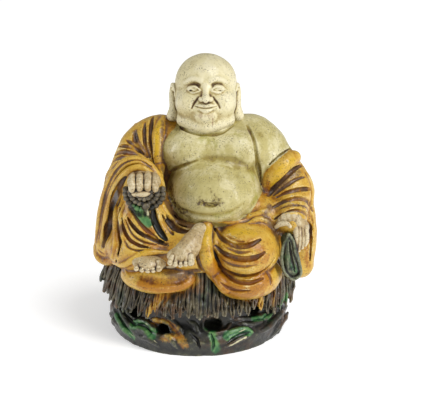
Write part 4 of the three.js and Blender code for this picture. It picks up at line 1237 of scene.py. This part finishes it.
class Glaze:
    def __init__(self, name):
        self.material = bpy.data.materials.new(name)
        self.material.use_nodes = True
        self.tree = self.material.node_tree
        self.shader = self.tree.nodes["Principled BSDF"]
        self.wire = Wire(self.tree)
        self.place = self.wire.node("TexCoord", {}, {}, "Object")
        self.broad = self.noise(34, 2)
        self.cloud = self.noise(120, 4)
        self.grain = self.noise(520, 4, 0.65)
        self.fleck = self.noise(900, 2, 0.6)
        # glaze that has run down
        drawnOut = self.wire.node("VectorMath", {"operation": "MULTIPLY"}, {0: self.place, 1: (1.0, 1.0, 0.22)}, "Vector")
        self.runs = self.wire.node("TexNoise", {}, {"Vector": drawnOut, "Scale": 330.0, "Detail": 3.0}, "Fac")
        self.ragged = (self.cloud - 0.5) * 2.4 + (self.grain - 0.5) * 2.0 + (self.runs - 0.5) * 1.4
        self.crease = self.mask("crease")
        self.basin = self.mask("basin")
        # how far down a groove a point lies, with noise: below 0 on ridges and above 1 at the bottom of a groove.
        # Colours laid along it are partly glaze pooled in the grooves and partly painted shade, darker down the
        # grooves, and painted highlight, paler on the ridges
        self.depth = self.crease * 0.50 + self.basin.most(-0.35) * 0.40 + self.ragged * 0.26
        bent = self.wire.node("VectorMath", {"operation": "MULTIPLY_ADD"}, {
            0: self.wire.node("TexNoise", {}, {"Vector": self.place, "Scale": 900.0}, "Color"),
            1: (0.0012, 0.0012, 0.0012), 2: self.place}, "Vector")
        self.pits = (self.pinholes(bent, 560, 0.30, 0.5).most(self.pinholes(bent, 300, 0.22, 0.85))
                     * self.noise(75, 3).over(0.42, 0.56))
        self.specks = (self.fleck.over(0.55, 0.66) * self.noise(110, 3).over(0.44, 0.58)
                       ).most(self.grain.over(0.58, 0.70) * 0.5)

    def mask(self, name):
        return self.wire.node("Attribute", {"attribute_name": name}, {}, "Fac")

    def noise(self, scale, detail, roughness=0.55):
        return self.wire.node("TexNoise", {}, {"Vector": self.place, "Scale": float(scale), "Detail": float(detail),
                                               "Roughness": roughness}, "Fac")

    def pinholes(self, place, scale, size, rarity):
        cell = self.wire.node("TexVoronoi", {}, {"Vector": place, "Scale": float(scale)}, "Distance")
        middle = self.wire.node("TexVoronoi", {}, {"Vector": place, "Scale": float(scale)}, "Position")
        pick = self.wire.node("TexWhiteNoise", {}, {"Vector": middle}, "Value")
        return (1 - cell.over(size * 0.4, size)) * pick.over(rarity, rarity + 0.1)

    def wash(self, name, low=0.2, high=0.8, share=0.4):
        # the mask of a stroke, which for some strokes is painted shade or painted highlight
        cover = self.mask(name)
        return (cover + self.ragged * share).over(low, high) * cover.over(0.0, 0.3)

    def zone(self, name):
        return (self.mask(name) + self.ragged * 0.12).over(0.3, 0.7)

    def layers(self, depth, stops):  # colours from the ridges down to the grooves, darker downwards: partly pooled glaze, partly painted shade
        colour = paint(stops[0][1])
        for (low, _), (high, name) in zip(stops, stops[1:]):
            colour = depth.over(low, high).blend(colour, paint(name))
        return colour

    def skin(self, pale, mid, low):
        # partly painted shade: the skin darkens down the creases to brown
        colour = self.layers(self.depth + (self.broad - 0.5) * 1.4,
                             [(-0.45, pale), (0.0, mid), (0.4, low), (0.75, "shade"), (1.2, "pitAndShadeBrown")])
        colour = (self.wash("olive", 0.0, 1.0) * 0.85).blend(colour, self.depth.over(-0.3, 0.4)
                                                            .blend(paint("celadon"), paint("olive")))
        colour = (self.wash("moss", 0.1, 0.9) * 0.8).blend(colour, paint("moss"))
        # painted shade with dirt: mottled olive and brown laid along creases
        grimyShade = (self.grain + self.pits * 0.3).over(0.40, 0.62).blend(paint("olive"), paint("pitAndShadeBrown"))
        colour = self.wash("shade_and_grime").blend(colour, grimyShade)
        return (self.pits * 0.9).most(self.specks * 0.55).blend(colour, paint("pitAndShadeBrown"))

    def robe(self):
        # partly painted shade and painted highlight: pale crests on the ridges, near black at the bottoms of grooves
        colour = self.layers(self.depth + (self.broad - 0.5) * 0.7,
                             [(-0.8, "crest"), (-0.42, "ochre"), (-0.05, "tan"), (0.22, "umber"),
                              (0.45, "trough"), (1.05, "deep")])
        thick = 1 - self.depth.over(0.25, 0.6)
        colour = (self.wash("yellow") * thick * 0.9).blend(colour, self.depth.over(-0.9, -0.5)
                                                          .blend(paint("crest"), paint("yellow")))
        # amber darker in the grooves: partly pooled glaze, partly painted shade
        amberPooledAndShaded = self.depth.over(-0.2, 0.3).blend(paint("amber"), paint("amberDeep"))
        cover = (self.crease + self.ragged * 0.5).over(-1.3, -0.6)  # it has run off the ridges
        colour = (self.wash("amber") * cover * (1 - self.depth.over(0.6, 1.0))).blend(colour, amberPooledAndShaded)
        # partly bare brown clay, partly painted shade: brown turning near black down the grooves
        colour = (self.wash("brown") * 0.9).blend(colour, self.depth.over(0.2, 0.8)
                                                 .blend(paint("trough"), paint("deep")))
        return (self.pits * 0.9).most(self.specks * 0.6).blend(colour, paint("deep"))

    def layered(self, pale, mid, low, dark, shift=0.0):
        # partly painted shade: darker down the grooves
        colour = self.layers(self.depth + (self.broad - 0.5) * 0.8 + shift,
                             [(-0.6, pale), (-0.1, mid), (0.35, low), (0.8, dark)])
        return (self.pits * 0.9).most(self.specks * 0.7).blend(colour, paint(dark))

    # green splashes and a rust stain, with painted shade from the dark strokes and painted highlights from the pale
    # streaks
    def splashesAndPaintedLight(self, colour):
        # green paler on ridges and darker in grooves: partly pooled glaze, partly painted shade and highlight
        green = self.depth.over(-0.6, 0.0).blend(paint("greenPale"), paint("green"))
        green = (self.depth + self.cloud * 0.6).over(0.2, 0.9).blend(green, paint("greenDark"))
        colour = self.wash("green").blend(colour, green)
        # painted shade: the dark strokes are painted near black
        colour = self.wash("dark").blend(colour, paint("bottle"))
        colour = (self.wash("stain") * 0.75).blend(colour, paint("rust"))
        # painted highlights: pale streaks on the ridges
        return self.wash("painted_glint", 0.3, 0.7).blend(colour, paint("painted_glint"))

    def finish(self, colour, roughness, bump=0.7):
        height = self.grain * 0.6 + self.cloud * 1.2 + self.fleck * 0.2 - self.pits * 0.8
        normal = self.wire.node("Bump", {}, {"Height": height, "Strength": bump, "Distance": 0.0008}, "Normal")
        for name, value in {"Base Color": colour, "Roughness": roughness, "Normal": normal}.items():
            self.tree.links.new(value.socket, self.shader.inputs[name])
        self.shader.inputs["Coat Weight"].default_value = 0.35
        self.shader.inputs["Coat Roughness"].default_value = 0.12
        self.shader.inputs["Specular IOR Level"].default_value = 0.35
        return self.material


def headGlaze():
    glaze = Glaze("pale_glaze")
    colour = glaze.splashesAndPaintedLight(glaze.skin("headCream", "headMid", "headLow"))
    return glaze.finish(colour, 0.38 + glaze.grain * 0.2 + glaze.depth.over(0.4, 1.2) * 0.2)


def bodyGlaze():
    glaze = Glaze("robe_glaze")
    colour = glaze.skin("cream", "celadon", "olive")
    colour = glaze.zone("robe").blend(colour, glaze.robe())
    # painted shade: hollows are painted deep brown
    colour = glaze.zone("hollow").blend(colour, paint("deep"))
    colour = glaze.splashesAndPaintedLight(colour)
    return glaze.finish(colour, 0.30 + glaze.grain * 0.16 + glaze.depth.over(0.3, 1.0) * 0.25)


def handGlaze(name):
    glaze = Glaze(name + "_glaze")
    colour = glaze.layered("buffPale", "buff", "buffShade", "shadeAndPitBlack")
    if name == "beaded_fist":
        colour = glaze.zone("beads").blend(colour, glaze.layered("beadPale", "beadGrey", "beadDark", "shadeAndPitBlack", 0.3))
    if name == "resting_hand":
        colour = glaze.zone("bag").blend(colour, glaze.layered("bagPale", "bagGreen", "bagDark", "shadeAndPitBlack", 0.2))
        # painted shade: the pocket under the thumb is painted deep brown
        colour = glaze.zone("hollow").blend(colour, paint("deep"))
    colour = glaze.splashesAndPaintedLight(colour)
    return glaze.finish(colour, 0.34 + glaze.grain * 0.2 + glaze.depth.over(0.3, 1.0) * 0.2)


def seatGlaze():
    glaze = Glaze("seat_glaze")
    colour = glaze.layered("rockPale", "rock", "rockDark", "rockDark", 0.25)
    brown = glaze.layered("buffShade", "rockBrown", "deep", "rockDark", 0.1)
    colour = (glaze.broad + glaze.ragged * 0.1).over(0.5, 0.66).blend(colour, brown)
    strands = glaze.layered("leafPale", "leafGrey", "leafBrown", "leafDark", 0.42)
    warm = glaze.layered("buffPale", "buffShade", "rockBrown", "leafDark", 0.42)
    strands = (glaze.noise(60, 2) + glaze.ragged * 0.05).over(0.5, 0.6).blend(strands, warm)
    mossy = glaze.layered("leafPale", "bagGreen", "bottle", "leafDark", 0.42)
    strands = (glaze.noise(45, 2) + glaze.ragged * 0.05).over(0.54, 0.64).blend(strands, mossy)
    colour = glaze.zone("leaf").blend(colour, strands)
    rust = glaze.layers(glaze.depth, [(-0.5, "ochre"), (0.0, "amber"), (0.45, "amberDeep"), (0.9, "deep")])
    colour = (glaze.wash("amber") * 0.85).blend(colour, rust)
    # painted shade: the insides of vents and gaps are painted near black
    colour = glaze.zone("hollow").blend(colour, paint("rockDark"))
    colour = glaze.splashesAndPaintedLight(colour)
    return glaze.finish(colour, 0.26 + glaze.grain * 0.2 + glaze.depth.over(0.3, 1.0) * 0.2)


glazesOf = {"monk_head": headGlaze(), "monk_body": bodyGlaze(), "leaf_seat": seatGlaze()}
for name, piece in pieces.items():
    piece.data.materials.append(glazesOf.get(name) or handGlaze(name))

# floor, lights and camera

scene = bpy.context.scene
shiftMetres = Vector(shift) * millimetre
eyeMetres = Vector(eye) * millimetre + shiftMetres
camera = bpy.data.objects.new("camera", bpy.data.cameras.new("camera"))
camera.data.sensor_width = view["sensor"]
camera.data.lens = view["focalPixels"] / view["frame"][0] * view["sensor"]
right = (view["frame"][0] / 2 - view["aimPixel"][0]) / view["focalPixels"]
lift = (view["aimPixel"][1] - view["frame"][1] / 2) / view["focalPixels"]
direction = -Vector(boardOut) + Vector((right, 0, 0)) + Vector(boardUp) * lift
camera.location = eyeMetres
camera.rotation_mode = "QUATERNION"
camera.rotation_quaternion = direction.to_track_quat("-Z", "Y")
scene.collection.objects.link(camera)
scene.camera = camera

floor = bpy.data.objects.new("floor", bpy.data.meshes.new("floor"))
floor.data.from_pydata([(-3, -3, 0), (3, -3, 0), (3, 3, 0), (-3, 3, 0)], [], [(0, 1, 2, 3)])
paper = bpy.data.materials.new("paper")
paper.use_nodes = True
paper.node_tree.nodes["Principled BSDF"].inputs["Base Color"].default_value = (0.9, 0.9, 0.9, 1)
paper.node_tree.nodes["Principled BSDF"].inputs["Roughness"].default_value = 0.9
paper.node_tree.nodes["Principled BSDF"].inputs["Emission Color"].default_value = (1, 1, 1, 1)
paper.node_tree.nodes["Principled BSDF"].inputs["Emission Strength"].default_value = 0.4
floor.data.materials.append(paper)
scene.collection.objects.link(floor)

lamps = {  # place, size, power
    "left": ((-1.0, -0.25, 0.42), (0.25, 0.7), 3.4),
    "right": ((0.95, -0.7, 0.45), (0.25, 0.7), 5.4),
}
for name, (place, size, power) in lamps.items():
    lamp = bpy.data.objects.new(name, bpy.data.lights.new(name, "AREA"))
    lamp.data.shape = "RECTANGLE"
    lamp.data.size, lamp.data.size_y = size
    lamp.data.energy = power
    lamp.location = place
    lamp.rotation_mode = "QUATERNION"
    lamp.rotation_quaternion = (Vector((0, 0, 0.12)) - Vector(place)).to_track_quat("-Z", "Y")
    scene.collection.objects.link(lamp)
sky = bpy.data.objects.new("sky", bpy.data.lights.new("sky", "SUN"))
sky.data.energy = 1.6
sky.data.angle = math.radians(32)
sky.rotation_mode = "QUATERNION"
sky.rotation_quaternion = Vector((-0.55, 0.45, -1)).to_track_quat("-Z", "Y")
scene.collection.objects.link(sky)

world = bpy.data.worlds.new("studio")
world.use_nodes = True
world.node_tree.nodes["Background"].inputs["Color"].default_value = (1, 1, 1, 1)
world.node_tree.nodes["Background"].inputs["Strength"].default_value = 0.3
scene.world = world
scene.view_settings.view_transform = "Standard"
